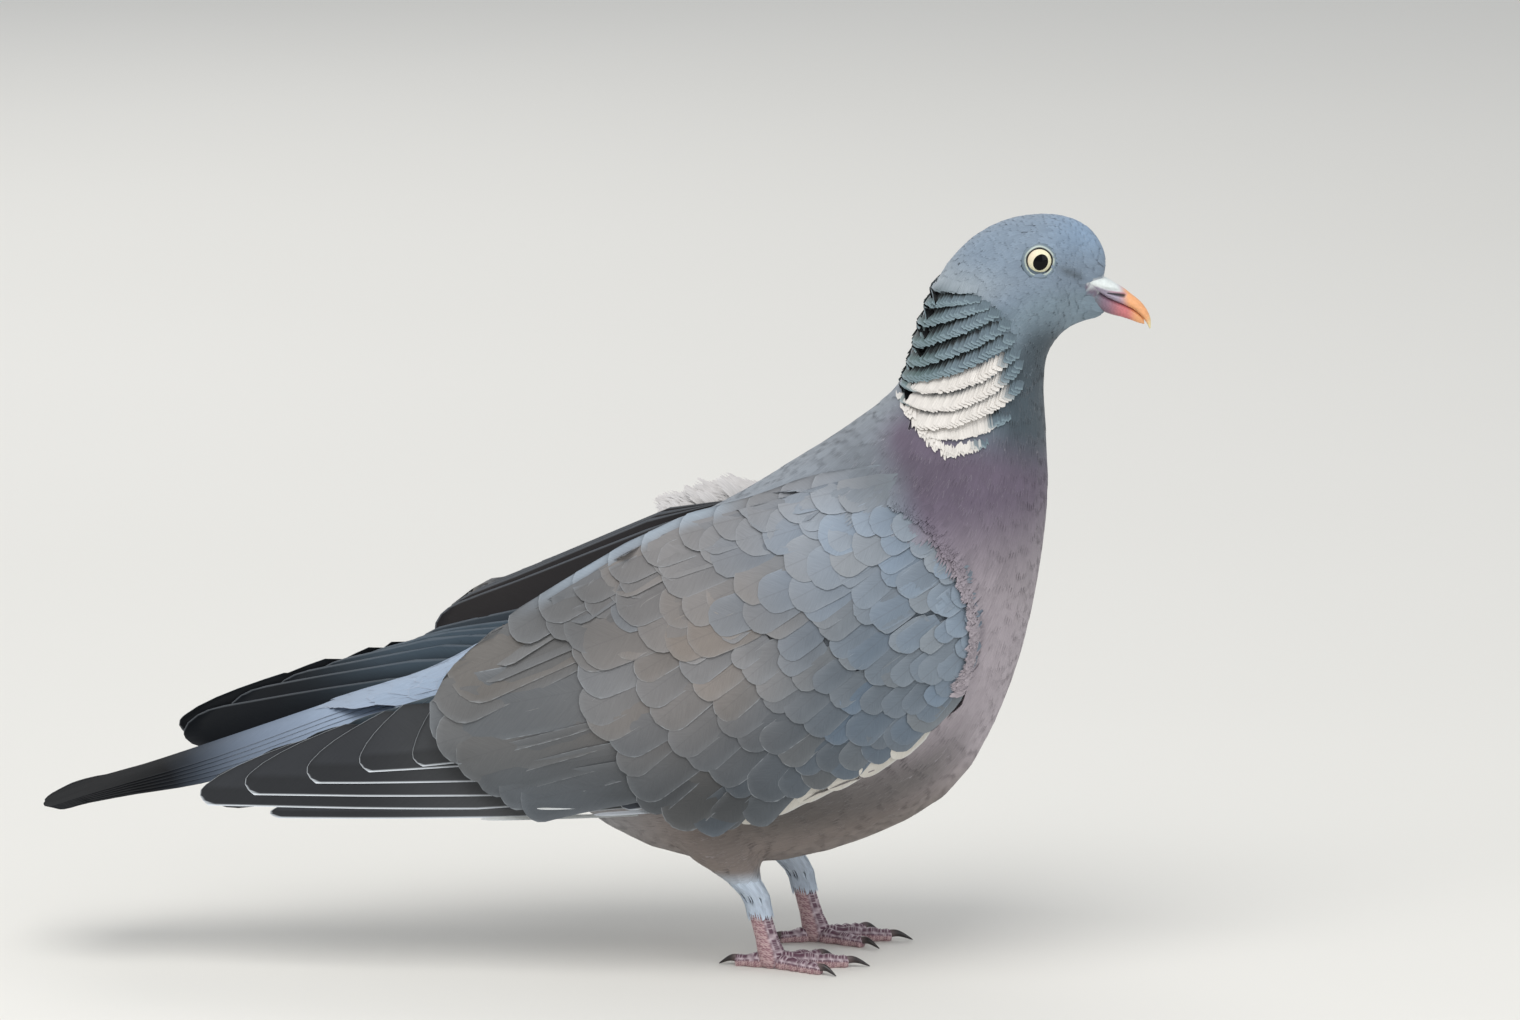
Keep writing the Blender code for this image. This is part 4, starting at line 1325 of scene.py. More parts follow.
def make_tract(tract, side, sign):
    """One joined piece of all rows of one tract on one wing."""
    chance = np.random.default_rng(len(tract))
    parts = []
    for count, reach, wide, slant, lift, line in WING_TRACTS[tract]:
        tips, share = even_line(line, count)
        number = len(share)
        size = 1.0 + 0.10 * chance.standard_normal(number)
        parts.append((
            tips + 1.15 * chance.standard_normal(tips.shape),
            np.interp(share, (0, 1), slant) + 3.4 * chance.standard_normal(number),
            np.interp(share, (0, 1), reach) * size * (1.25 if reach[0] < 30 else 1.0),
            np.interp(share, (0, 1), wide) * size * 1.1,
            np.full(number, lift),
        ))
    tips, slant, reach, wide, lift = (
        np.concatenate([part[k] for part in parts]) for k in range(5)
    )
    front = np.array(WING_FRONT)[::-1]
    if tract != "scapulars":
        tips[:, 0] = np.minimum(tips[:, 0], np.interp(tips[:, 1], front[:, 1], front[:, 0]) - 1.5)
        turned = np.radians(slant)
        for _ in range(3):
            over = tips[:, 0] + reach * np.cos(turned) - np.interp(
                tips[:, 1] + reach * np.sin(turned), front[:, 1], front[:, 0]
            )
            reach = np.maximum(reach - np.maximum(over, 0.0), 4.5)
    points, flat, seen, up = wing_vanes(
        side, sign, tips, slant, reach, wide,
        {
            "heights": (-1.15 if tract == "tertial_feathers" else -0.75, 0.02),
            "lift": 0.42 * lift,
            "bend": 0.03 if tract == "tertial_feathers" else 0.0,
            "fray": chance.random((len(tips), 11)) * (
                0.1 if tract == "tertial_feathers" else 0.45
            ),
        },
    )
    shade = wing_colour(seen)
    vary = 1.0 + 0.055 * chance.standard_normal(len(tips))
    warm = 0.04 * chance.standard_normal(len(tips))
    shade = shade * vary[:, None, None, None]
    shade = shade * (1 + warm[:, None, None, None] * np.array((1.0, 0.0, -1.0)))
    # painted shade towards each feather's root, under the tips of those that overlap it
    root_shadow = 0.80 + 0.20 * smoothed(COVERT_ROWS, 0.35, 0.9)
    shade = shade * root_shadow[None, :, None, None]
    fine = tract in ("lesser_coverts", "scapulars")
    rim = chance.uniform(0.1, 0.5, len(tips)) * (0.5 if fine else 1.0)
    piece = make_vanes(
        tract + "_" + side, points, flat, shade, rim, points[:, 0, 5], up,
        0.4 if fine else 0.55,
    )
    piece.data.materials.append(covert_paint)
    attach(piece, "root")


for side, sign in SIDES:
    for tract in WING_TRACTS:
        make_tract(tract, side, sign)

# ---------------------------------------------------------------------------
# Long scapulars along the top edge of each folded wing: two rows of broad
# vanes that lie parallel to the edge over the upper ends of the other rows
# and close the wing against the back.
# ---------------------------------------------------------------------------
# tip x of each feather, depth under the edge, length, width, lift
EDGE_ROWS = (
    ((-15, -3, 9, 21, 33, 44, 55, 65), 11.0, 27, 12.0, 0.68),
    ((-27, -17, -6, 5, 16, 27, 38, 48, 58, 68), 4.8, 30, 12.0, 0.9),
)
SHEET_X = np.arange(-52.0, 105.0, 4.0)
SHEET_DEPTH = np.array((0.8, 4.0, 8.0, 12.0, 17.0))
EDGE_SKY_HIGHLIGHT = tone(164, 178, 192)


def edge_sheet(side, sign):
    """Smooth outer sheet of the wing's top edge, by place and depth, in mm."""
    top = at_x(WING_TOP, SHEET_X) + lifted(SHEET_X, side)
    px = SHEET_X[:, None] + 0 * SHEET_DEPTH
    pz = top[:, None] - SHEET_DEPTH
    base, _, _ = from_side_mm(wing_solid[side], px, pz, sign, "mark")
    body, _, _ = from_side_mm(form, px, pz, sign)
    ahead = smoothed(px, 54, 66)
    y = (base[..., 1] * (1 - ahead) + body[..., 1] * ahead) * sign / MM
    y = evened(y, 3)

    def face(side, sign, px, pz):
        crest = at_x(WING_TOP, px) + lifted(px, side)
        pz = np.minimum(pz, crest + (0.5 if side == "right" else -2.2))
        column = np.clip((px - SHEET_X[0]) / 4.0, 0, len(SHEET_X) - 1.001)
        row = np.interp(crest - pz, SHEET_DEPTH, np.arange(5.0))
        row = np.clip(row, 0, 3.999)
        i, j = column.astype(int), row.astype(int)
        f, g = column - i, row - j
        level = (
            (y[i, j] * (1 - f) + y[i + 1, j] * f) * (1 - g)
            + (y[i, j + 1] * (1 - f) + y[i + 1, j + 1] * f) * g
        )
        up = np.zeros(px.shape + (3,)) + np.array((0.0, sign, 0.3)) / 1.044
        return np.stack([px, level * sign, pz], -1) * MM, up, np.zeros(px.shape, bool)

    return face


def make_edge_scapulars(side, sign):
    """Both rows of one wing as one piece."""
    chance = np.random.default_rng(23)
    tips, slant, size = [], [], []
    for places, under, reach, wide, lift in EDGE_ROWS:
        x = np.array(places, float) + chance.uniform(-1.0, 1.0, len(places))
        z = at_x(WING_TOP, x)
        ahead = at_x(WING_TOP, x + reach * 0.8)
        tips.append(np.stack([x, z - under], 1))
        slant.append(np.degrees(np.arctan2(ahead - z, reach * 0.8)) - 1.0)
        size.append(np.tile((reach, wide, lift), (len(x), 1)))
    tips, slant, size = (np.concatenate(k) for k in (tips, slant, size))
    points, flat, seen, up = wing_vanes(
        side, sign, tips, slant, size[:, 0], size[:, 1],
        {
            "heights": (-1.7, 0.0), "lift": size[:, 2], "fit": False,
            "face": edge_sheet(side, sign), "blunt": 1.15, "tilt": -0.05,
            "fray": chance.random((len(tips), 11)) * 0.4,
        },
    )
    shade = wing_colour(seen)
    # painted highlight: a pale sky-blue sheen along the top edge of the wing, fading within a few
    # mm below it
    below = at_x(WING_TOP, seen[..., 0]) - seen[..., 1]
    lit = 0.75 * (1 - smoothed(below, 0.5, 5.0))
    lit = lit * smoothed(seen[..., 0], -30, 0) * (1 - smoothed(seen[..., 0], 34, 50))
    shade = toward(shade, EDGE_SKY_HIGHLIGHT, lit[..., None])
    shade = shade * (1 + 0.04 * chance.standard_normal(len(tips)))[:, None, None, None]
    # painted shade towards each feather's root, under those that overlap it
    shade = shade * (0.82 + 0.18 * smoothed(COVERT_ROWS, 0.35, 0.9))[None, :, None, None]
    piece = make_vanes(
        "edge_scapulars_" + side, points, flat, shade,
        chance.uniform(0.1, 0.35, len(tips)), points[:, 0, 5], up, 0.45,
    )
    piece.data.materials.append(covert_paint)
    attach(piece, "root")


for side, sign in SIDES:
    make_edge_scapulars(side, sign)

# ---------------------------------------------------------------------------
# Fringe: the outermost breast and shoulder feathers, which lie over the front
# edge of the folded wing and hide where it leaves the body.
# ---------------------------------------------------------------------------
# how far in front of the wing's edge each row is rooted, and its length
FRINGE_ROWS = ((0.4, 4.0), (2.4, 5.6))
# distance from the rim, in mm, given to loose vanes that show no pale rim
RIMLESS = 9.0


def make_fringe(side, sign):
    """Rows of frayed feathers bridging from the breast on to the wing."""
    chance = np.random.default_rng(19)
    start, aim, reach = [], [], []
    for row, (ahead, long) in enumerate(FRINGE_ROWS):
        line, _ = even_line(WING_FRONT, 130 + 4 * row)
        line = line[line[:, 1] > 95.0]
        slope = unit(np.gradient(line, axis=0))
        out = np.stack([-slope[:, 1], slope[:, 0]], 1)
        back = unit(-out + 0.75 * np.array((-0.55, -0.85)))
        start.append(line + out * ahead + 0.5 * chance.standard_normal(line.shape))
        aim.append(back)
        reach.append(long * chance.uniform(0.85, 1.15, len(line)))
    start, aim, reach = (np.concatenate(k) for k in (start, aim, reach))
    count = len(start)
    half = chance.uniform(0.9, 1.3, count)
    rows, across = BODY_ROWS, np.linspace(-1, 1, 9)
    fray = chance.random((count, 9)) * np.where(np.arange(9) % 2, 0.4, 0.05)
    ends = columns_end(across, reach, half, 1.6, fray * reach[:, None])
    along = rows[None, :, None] * ends[:, None]
    over = vane_sides(across, rows, 0.5, half)
    px, pz = seen_places(start, aim, along, over)
    base, up, _ = from_side_mm(form, px, pz + lifted(px, side), sign)
    y = base[..., 1] * sign
    y = np.maximum(y, (y[:, :1] + (y[:, -1:] - y[:, :1]) * rows[None, :, None]) - 0.2 * MM)
    base[..., 1] = y * sign
    height = -0.1 + 1.0 * rows[None, :, None] ** 0.8 - 0.1 * across**2
    points = base + up * height[..., None] * MM
    # painted shade towards the roots, lighter towards the tips
    shade = body_shade(points, up) * (0.97 + 0.09 * rows)[None, :, None, None]
    flat = np.stack([over, along, np.full(along.shape, RIMLESS)], -1)
    piece = make_vanes(
        "shoulder_fringe_" + side, points, flat, shade, np.zeros(count),
        points[:, 0, 4], up, 0.1,
    )
    piece.data.materials.append(soft_paint)
    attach(piece, "root")


for side, sign in SIDES:
    make_fringe(side, sign)

# ---------------------------------------------------------------------------
# Folded primaries and their coverts: long stiff dark vanes stacked under the
# inner wing, the shortest outermost, each with a white outer edge. The left
# wing is carried a little higher and further back than the right.
# ---------------------------------------------------------------------------
# each feather's tip x, lower edge z, width, and how far its inner web is cut
# back; then the slopes of all, where they are rooted, and their steps inward
PRIMARY_TIPS = (
    (-47.3, 71.6, 17.0, 6.0), (-58.2, 66.8, 19.0, 9.0),
    (-74.9, 65.0, 20.0, 15.0), (-91.4, 61.3, 22.0, 25.0),
    (-111.0, 57.3, 22.0, 32.0), (-125.3, 53.7, 21.0, 34.0),
    (-103.0, 50.2, 9.0, 20.0),
)
PRIMARY_SLOPES = np.array((8.0, 6.0, 3.7, 1.2, 0.5, 0.1, 0.8))
PRIMARY_FRONT = 20.0
PRIMARY_STEP = 0.42
# where the stack of primaries lies: x, lower edge z, upper edge z, and the
# distance of the two edges from the middle of the bird
PRIMARY_SHEET = np.array((
    (-134.0, 54.5, 62.0, 27.0, 26.4), (-110.0, 54.2, 68.0, 29.6, 26.0),
    (-91.0, 53.4, 74.0, 32.2, 26.0), (-74.0, 52.8, 80.0, 34.2, 26.6),
    (-58.0, 52.4, 84.0, 35.2, 26.2), (-44.0, 51.9, 86.0, 35.6, 26.0),
    (-20.0, 51.4, 86.0, 36.2, 26.0), (22.0, 51.2, 86.0, 36.4, 26.0),
))
PRIMARY_ACROSS = np.array((-1.0, -0.8, -0.5, -0.2, 0.1, 0.38, 0.46, 0.54, 0.7, 0.85, 0.94, 1.0))
PRIMARY_ROWS = np.concatenate([np.linspace(0.0, 0.8, 13), (0.86, 0.91, 0.95, 0.98, 1.0)])
PRIMARY_SHAFT = 0.46
PRIMARY_DARK = tone(86, 88, 90)
PRIMARY_TIP_DARK = tone(44, 46, 50)
# dark inward faces of the long wing feathers: their own dark grey deepened as painted shade
INNER_FACE = tone(20, 23, 27)
LEFT_REACH = 9.0


def primary_face(side, sign, px, pz):
    """Outer face of the stack of primaries, level beyond its edges."""
    low, high, y_low, y_high = (
        np.interp(px, PRIMARY_SHEET[:, 0], PRIMARY_SHEET[:, k]) for k in range(1, 5)
    )
    share = np.clip((pz - lifted(px, side) - low) / (high - low), -0.4, 1.3)
    y = (y_low + (y_high - y_low) * share) * sign
    up = np.zeros(px.shape + (3,)) + np.array((0.0, sign, 0.0))
    return np.stack([px, y, pz], -1) * MM, up, np.zeros(px.shape, bool)


def oblique_ends(across, reach, cut, point=0.62, round_off=3.0):
    """Column ends of a vane whose inner web is cut back from its point."""
    inner = np.clip((point - across) / (1 + point), 0, 1)[None] ** 1.5
    outer = np.clip((across - point) / (1 - point), 0, 1)[None] ** 2
    return reach[:, None] - cut[:, None] * inner - round_off * outer


primary_paint = plumage_paint(
    "primary_plumage", rim=(214, 220, 226), rim_width=0.75, streak=0.12,
    roughness=0.5, bump=0.2, sheen=0.0,
)


def make_primaries(side, sign):
    """Closed long vanes of one wing tip."""
    tips_x, edge_z, wide, cut = np.array(PRIMARY_TIPS).T
    if side == "left":
        tips_x = tips_x - LEFT_REACH * np.clip((-6 - tips_x) / 118.3, 0, 1)
    tips = np.stack([tips_x, edge_z + wide / 2], 1)
    reach = PRIMARY_FRONT - tips_x
    ends = oblique_ends(PRIMARY_ACROSS, reach, cut)
    points, flat, seen, up = wing_vanes(
        side, sign, tips, PRIMARY_SLOPES, reach, wide,
        {
            "rows": PRIMARY_ROWS, "across": PRIMARY_ACROSS, "root": 0.35,
            "ends": ends, "heights": (0.0, 0.0), "tilt": 0.0, "camber": 0.25,
            "lift": -PRIMARY_STEP * np.arange(len(tips)), "face": primary_face,
            "fit": False,
        },
    )
    ridge = np.exp(-(((PRIMARY_ACROSS - PRIMARY_SHAFT) / 0.05) ** 2))
    points = points + up * (ridge * 0.22 * MM)[None, None, :, None]
    edge = (1 - PRIMARY_ACROSS)[None, None] * wide[:, None, None] / 2
    to_tip = (ends[:, None] - flat[..., 1]) * 2.2 + 0.25
    flat[..., 2] = np.minimum(edge * np.ones_like(to_tip), to_tip)
    far = smoothed(-seen[..., 0], 10, 80)[..., None]
    shade = toward(PRIMARY_DARK, PRIMARY_TIP_DARK, far)
    outer_web = smoothed(PRIMARY_ACROSS, 0.42, 0.5)[None, None, :, None]
    soft = smoothed(PRIMARY_ROWS, 0.5, 0.98)[None, :, None, None]
    shade = shade * (1 - 0.22 * outer_web) * (1 + 0.16 * (1 - outer_web) * soft)
    piece = make_vanes(
        "primaries_fan_" + side, points, flat, shade, np.full(len(tips), 1.0),
        points[:, 0, 5], up, 0.5, 0.32 * MM, INNER_FACE,
    )
    piece.data.materials.append(primary_paint)
    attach(piece, "root")
    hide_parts("primaries_" + side)


# primary coverts and the pale feathers under the bend: tip, slant, length,
# width, lift and which paint
EDGE_FEATHERS = (
    (-21.0, 58.9, 3, 36, 7.0, 3.2, "dark"), (-6.0, 60.6, 5, 30, 7, 2.6, "dark"),
    (-18.0, 55.3, 3, 36, 1.5, 3.6, "white"), (8.0, 57.0, 9, 22, 6, 3.4, "dark"),
    (-36.0, 50.9, 1.4, 50, 1.2, -2.2, "white"), (0.0, 53.4, 3, 24, 1.2, 3.7, "pale"),
    (46.0, 51.4, 27, 26, 6.4, -0.5, "cream"), (55.0, 54.4, 26, 24, 6.4, -0.5, "cream"),
    (64.5, 58.2, 28, 22, 6.0, -0.5, "cream"), (74.0, 62.2, 31, 20, 6.0, -0.2, "cream"),
    (84.0, 66.8, 35, 18, 6.0, 0.2, "cream"), (94.0, 72.8, 40, 15, 6.0, 0.4, "cream"),
)
EDGE_PAINTS = {
    "dark": (tone(66, 70, 78), 1.0), "white": (tone(192, 195, 194), 0.3),
    "pale": (tone(150, 154, 160), 0.4), "cream": (tone(204, 200, 192), 0.3),
}


def make_edge_feathers(side, sign):
    """Pale and white-edged feathers along the lower edge of one wing."""
    table = np.array([row[:6] for row in EDGE_FEATHERS], float)
    laid = []
    for part, face, fit in ((table[:6], primary_face, False), (table[6:], wing_face, True)):
        laid.append(wing_vanes(
            side, sign, part[:, :2], part[:, 2], part[:, 3], part[:, 4],
            {"heights": (-0.8, -0.1), "lift": part[:, 5], "face": face, "fit": fit,
             "blunt": np.where(part[:, 4:5] < 3, 12.0, 1.7)},
        ))
    points, flat, _, up = (np.concatenate([one[k] for one in laid]) for k in range(4))
    shade = np.array([EDGE_PAINTS[row[6]][0] for row in EDGE_FEATHERS])
    # painted shade towards each feather's root, under those that overlap it
    shade = shade[:, None, None, :] * (0.85 + 0.15 * COVERT_ROWS)[None, :, None, None]
    rim = np.array([EDGE_PAINTS[row[6]][1] for row in EDGE_FEATHERS])
    flat[..., 2] = np.minimum(
        (1 - COVERT_ACROSS)[None, None] * table[:, 4, None, None] / 2
        * np.ones_like(flat[..., 2]), flat[..., 2] + 0.3,
    )
    piece = make_vanes(
        "wing_edge_feathers_" + side, points, flat, shade, rim,
        points[:, 0, 5], up, 0.5,
    )
    piece.data.materials.append(primary_paint)
    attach(piece, "root")


# inner faces seen over the back: long feathers, then the tertials above them,
# as tip, slant, length, width, step towards the body and share of brown
INNER_FEATHERS = (
    (-38.0, 100.0, 33, 105, 12, 0.0, 1.0), (-43.5, 96.0, 33, 109, 12, 0.2, 1.0),
    (-48.0, 92.6, 33, 111, 12, 0.4, 1.0), (-51.5, 89.3, 32, 113, 12, 0.6, 1.0),
    (-60.0, 80.0, 25, 80, 13, 0.9, 0.35), (-67.5, 77.0, 21, 86, 13, 1.3, 0.0),
    (-80.0, 73.5, 18, 92, 13, 1.7, 0.0), (-91.5, 70.5, 15.5, 98, 13, 2.1, 0.0),
    (-104.0, 66.5, 13.5, 104, 13, 2.5, 0.0), (-118.0, 61.5, 12, 112, 13, 2.9, 0.0),
    (-132.5, 54.5, 11, 122, 14, 3.3, 0.0),
)
INNER_SHEET = np.array((
    (-134.0, 24.2), (-90.0, 23.8), (-60.0, 24.6), (-46.0, 26.0),
    (-38.0, 26.0), (-24.0, 23.4), (-8.0, 20.8), (12.0, 17.6), (40.0, 15.0),
))
# brown of the tertials' inner faces, darkened as painted shade in the gap beside the back; the
# paler upper webs below are painted light
INNER_BROWN = tone(46, 42, 41)
INNER_WEB_LIT = tone(80, 94, 104)


def inner_face(side, sign, px, pz):
    """Sheet along the inner face of a folded wing, facing the back."""
    y = at_x(INNER_SHEET, px) * sign
    limit = at_x(WING_TOP, px) - 0.8
    drop = 2.0 if side == "right" else 3.2 * smoothed(px, 30, 52) - 2.4
    limit = np.where(px < -46, 200.0, limit) - drop
    pz = np.minimum(pz, limit + lifted(px, side))
    up = np.zeros(px.shape + (3,)) + np.array((0.0, -sign, 0.0))
    return np.stack([px, y, pz], -1) * MM, up, np.zeros(px.shape, bool)


def make_inner_feathers(side, sign):
    """Dark inner faces of the long feathers of one wing."""
    table = np.array(INNER_FEATHERS)
    if side == "right":
        table = table[4:] + np.array((9.0, 2.0, 0, 0, 0, 0, 0))
    points, flat, seen, up = wing_vanes(
        side, sign, table[:, :2], table[:, 2], table[:, 3], table[:, 4],
        {"heights": (-0.2, 0.0), "lift": table[:, 5], "face": inner_face,
         "fit": False, "blunt": 2.1, "tilt": 0.0},
    )
    brown = table[:, 6][:, None, None, None]
    # painted light and shade: each feather is paler at its upper edge and darker below it, where
    # the feather in front shades it; the pale edge is strongest towards the wing's root
    web = smoothed(seen[..., 0], -100, -50) * (1 - smoothed(COVERT_ACROSS, -0.95, 0.1))
    shade = toward(INNER_FACE, INNER_WEB_LIT, web[..., None] * (1 - brown))
    shade = toward(shade, INNER_BROWN, brown)
    flat[..., 2] = np.where(COVERT_ACROSS[None, None] < 0, flat[..., 2], flat[..., 2] + 0.5)
    piece = make_vanes(
        "inner_wing_feathers_" + side, points, flat, shade,
        np.full(len(table), 0.25), points[:, 0, 5], up, 0.5, 0.3 * MM,
    )
    piece.data.materials.append(primary_paint)
    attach(piece, "root")


for side, sign in SIDES:
    make_primaries(side, sign)
    make_edge_feathers(side, sign)
    make_inner_feathers(side, sign)

# ---------------------------------------------------------------------------
# Tail: twelve long square-ended feathers, closed to one stack with the middle
# pair on top, blue-grey at the root and blackish at the end, under long
# soft coverts above and below.
# ---------------------------------------------------------------------------
TAIL_TOP = np.array((
    (-176.4, 49.9), (-174.0, 50.7), (-167.0, 53.2), (-155.0, 57.4),
    (-130.0, 66.1), (-104.0, 75.0), (-84.0, 81.9), (-70.0, 86.2), (-50.0, 92.0),
))
TAIL_LAYER = np.array((
    (-176.0, 0.15), (-155.0, 0.22), (-130.0, 0.28), (-104.0, 0.34),
    (-80.0, 0.42), (-50.0, 0.7),
))
# the outer feathers slope down like a roof, least at the tip
TAIL_HANG = np.array((
    (-176.0, -1.6), (-162.0, -1.0), (-148.0, 1.5), (-132.0, 5.4), (-122.0, 7.4),
    (-108.0, 8.6), (-90.0, 8.6), (-70.0, 7.5), (-50.0, 6.0),
))
TAIL_HALF = np.array(((-155.0, 23.5), (-104.0, 20.0), (-50.0, 17.0)))
TAIL_ACROSS = np.array((
    -1.0, -0.92, -0.75, -0.45, -0.12, -0.05, 0.02, 0.12, 0.45, 0.75, 0.92, 1.0,
))
TAIL_ROWS = np.concatenate([np.linspace(0.0, 0.88, 16), (0.92, 0.95, 0.98, 1.0)])
TAIL_BLUE = tone(156, 171, 191)
TAIL_MID = tone(120, 132, 149)
TAIL_BLACK = tone(15, 16, 18)
UNDER_BASE = tone(96, 102, 112)
UNDER_BAND = tone(158, 160, 162)
tail_paint = plumage_paint(
    "tail_plumage", rim=(120, 130, 144), rim_width=0.4, streak=0.13,
    roughness=0.62, bump=0.3, sheen=0.0,
)
tail_paint.node_tree.nodes["Principled BSDF"].inputs["Specular IOR Level"].default_value = 0.03


def tail_place(x, y, layer):
    """Point of the tail stack from its place, side step and layer, in mm."""
    top = at_x(TAIL_TOP, x)
    drop = at_x(TAIL_LAYER, x)
    hang = at_x(TAIL_HANG, x)
    half = at_x(TAIL_HALF, x)
    z = top - 0.15 - layer * drop - 1.0 * (y / 23.4) ** 2
    z = z - hang * np.clip((np.abs(y) - 5.0) / (half - 5.0), 0.0, 1.1) ** 1.4
    return np.stack([x, y, z], -1) * MM


def make_tail():
    """All twelve tail feathers as closed vanes."""
    pair = np.repeat(np.arange(6), 2)
    sign = np.tile((-1.0, 1.0), 6)
    start, finish = -50.0, -176.2 + 0.9 * pair
    reach = start - finish
    half_tip = 11.0 - 0.25 * pair
    ends = columns_end(TAIL_ACROSS, reach, half_tip, 0.55, 0.0)
    along = TAIL_ROWS[None, :, None] * ends[:, None, :]
    x = start - along
    share = along / reach[:, None, None]
    half = (7.0 + (half_tip[:, None, None] - 7.0) * smoothed(share, 0.1, 0.95))
    over = TAIL_ACROSS[None, None] * half
    step = (1.4 + 1.25 * pair)[:, None, None] * (1 - share)
    step = step + (3.0 + 1.9 * pair)[:, None, None] * share
    y = sign[:, None, None] * step + over * sign[:, None, None]
    layer = pair[:, None, None] + 0.25 * (sign[:, None, None] > 0)
    points = tail_place(x, y, layer)
    ridge = np.exp(-(((TAIL_ACROSS + 0.05) / 0.05) ** 2))
    lift = 0.2 * ridge[None, None] * (1 - share) - 0.25 * TAIL_ACROSS**2
    points[..., 2] += lift * MM
    up = np.zeros_like(points) + np.array((-0.31, 0.0, 0.95))
    hang = at_x(TAIL_HANG, x)
    half_way = at_x(TAIL_HALF, x) - 5.0
    out = np.clip((np.abs(y) - 5.0) / half_way, 0.0, 1.1)
    up[..., 1] = np.sign(y) * 1.4 * hang * out**0.4 / half_way
    up = unit(up)
    dark = smoothed(-x, 98, 138)[..., None]
    shade = toward(TAIL_BLUE, TAIL_MID, smoothed(-x, 70, 105)[..., None])
    # painted shade: the outer feathers' outer webs, which hang lowest, a little darker
    outer = smoothed(pair, 2.5, 5.0)[:, None, None, None] * smoothed(over, -2, 8)[..., None]
    shade = shade * (1 - 0.1 * outer)
    shade = toward(shade, TAIL_BLACK, dark)
    band = smoothed(-x, 76, 90) * (1 - smoothed(-x, 112, 124))
    under = toward(UNDER_BASE, UNDER_BAND, band[..., None])
    under = toward(under, TAIL_BLACK, smoothed(-x, 112, 126)[..., None])
    edge = np.minimum((1 - np.abs(TAIL_ACROSS)) * half, ends[:, None] - along)
    flat = np.stack([over, along, edge], -1)
    piece = make_vanes(
        "tail_feathers", points, flat, shade, np.full(12, 0.05),
        points[:, 2, 6], up, 0.25, 0.14 * MM, under,
    )
    piece.data.materials.append(tail_paint)
    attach(piece, "root")
    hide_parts("tail")


make_tail()
UPPER_COVERT = tone(148, 164, 184)
LOWER_COVERT = tone(164, 166, 174)


def make_tail_coverts(name, below):
    """Soft coverts over or under the root of the tail."""
    chance = np.random.default_rng(71 + below)
    places, aims = [], []
    for row, x in enumerate((-26.0, -33.0, -40.0, -47.0, -54.0)):
        number = 7 + row % 2
        for y in np.linspace(-1, 1, number) * (9.0 if below else 14.5 - 1.6 * row):
            z = 40.0 if below else 120.0
            aim = (0.0, 0.0, 1.0 if below else -1.0)
            hit = form.tree.ray_cast((x * MM, y * MM, z * MM), aim)[0]
            if hit is None:
                continue
            places.append(hit)
            aims.append((-0.94, 0.012 * y, 0.12 if below else -0.33))
    places, aims = np.array(places), np.array(aims)
    number = len(places)
    reach = chance.uniform(30, 36, number) * MM * (0.8 if below else 1.0)
    reach = reach * (1.0 if below else 1.15 - 0.55 * np.abs(places[:, 1]) / 0.0145)
    wide = chance.uniform(12, 15, number) * MM
    across = np.linspace(-1, 1, 13)
    rows = np.array((0.0, 0.25, 0.45, 0.62, 0.78, 0.9, 1.0))
    fray = chance.random((number, 13)) * 0.06 * reach[:, None]
    points, flat, up = drape_vanes(
        places, aims, reach, wide, rows, across,
        {"heights": (-0.3 * MM, 0.12 * MM), "follow": False, "blunt": 2.2},
        fray,
    )
    base = LOWER_COVERT if below else UPPER_COVERT
    vary = chance.uniform(0.97, 1.02, number)[:, None, None, None]
    # painted shade towards each covert's root, under those that overlap it
    dark = (0.9 + 0.1 * smoothed(rows, 0.2, 0.8))[None, :, None, None]
    shade = np.ones_like(points) * base * vary * dark
    if not below:
        far = smoothed(-points[..., 0] / MM, 58, 90)[..., None]
        shade = toward(shade, 0.8 * TAIL_BLUE, far)
    piece = make_vanes(name, points, flat, shade, np.full(number, 0.25), places, up, 0.3)
    piece.data.materials.append(soft_paint)
    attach(piece, "root")


make_tail_coverts("uppertail_coverts", False)
make_tail_coverts("undertail_coverts", True)

# ---------------------------------------------------------------------------
# Down tuft: loose white down feathers that have worked out between the left
# wing and the back and stand up over the wing's edge, very soft and frayed.
# ---------------------------------------------------------------------------
DOWN_WHITE = tone(214, 211, 210)
chance = np.random.default_rng(31)
number = 130
tuft_x = np.sort(chance.uniform(28, 61, number))
tuft_roots = np.stack([
    tuft_x, chance.uniform(18, 28, number), 133 + 0.24 * (tuft_x - 20)
], 1) * MM
tuft_aims = np.stack([
    chance.uniform(-0.9, -0.3, number), chance.uniform(-0.25, 0.15, number),
    chance.uniform(0.5, 0.95, number),
], 1)
tuft_across = np.linspace(-1, 1, 11)
tuft_rows = np.array((0.0, 0.3, 0.55, 0.75, 0.88, 1.0))
tuft_long = chance.uniform(8.5, 12, number) * MM
ragged = chance.random((number, 11)) * 0.4
ragged *= np.where(np.arange(11) % 2, 1.0, 0.2)[None]
places = form.nearest(tuft_roots)[0]
tuft_top = np.interp(tuft_x, (28, 36, 42, 52, 61), (135.5, 140, 142, 143, 142)) * MM
places[:, 1] = np.maximum(places[:, 1], 19.5 * MM)
places[:, 2] = np.minimum(places[:, 2], tuft_top + chance.uniform(-1.5, 0.8, number) * MM)
tuft_aims = unit(tuft_aims)
sideways = unit(np.cross(tuft_aims, (0.0, 1.0, 0.0)))
half = chance.uniform(1.5, 2.5, number) * MM
ends = columns_end(tuft_across, tuft_long, half, 1.2, ragged * tuft_long[:, None])
along = tuft_rows[None, :, None] * ends[:, None]
over = vane_sides(tuft_across, tuft_rows, 0.5, half)
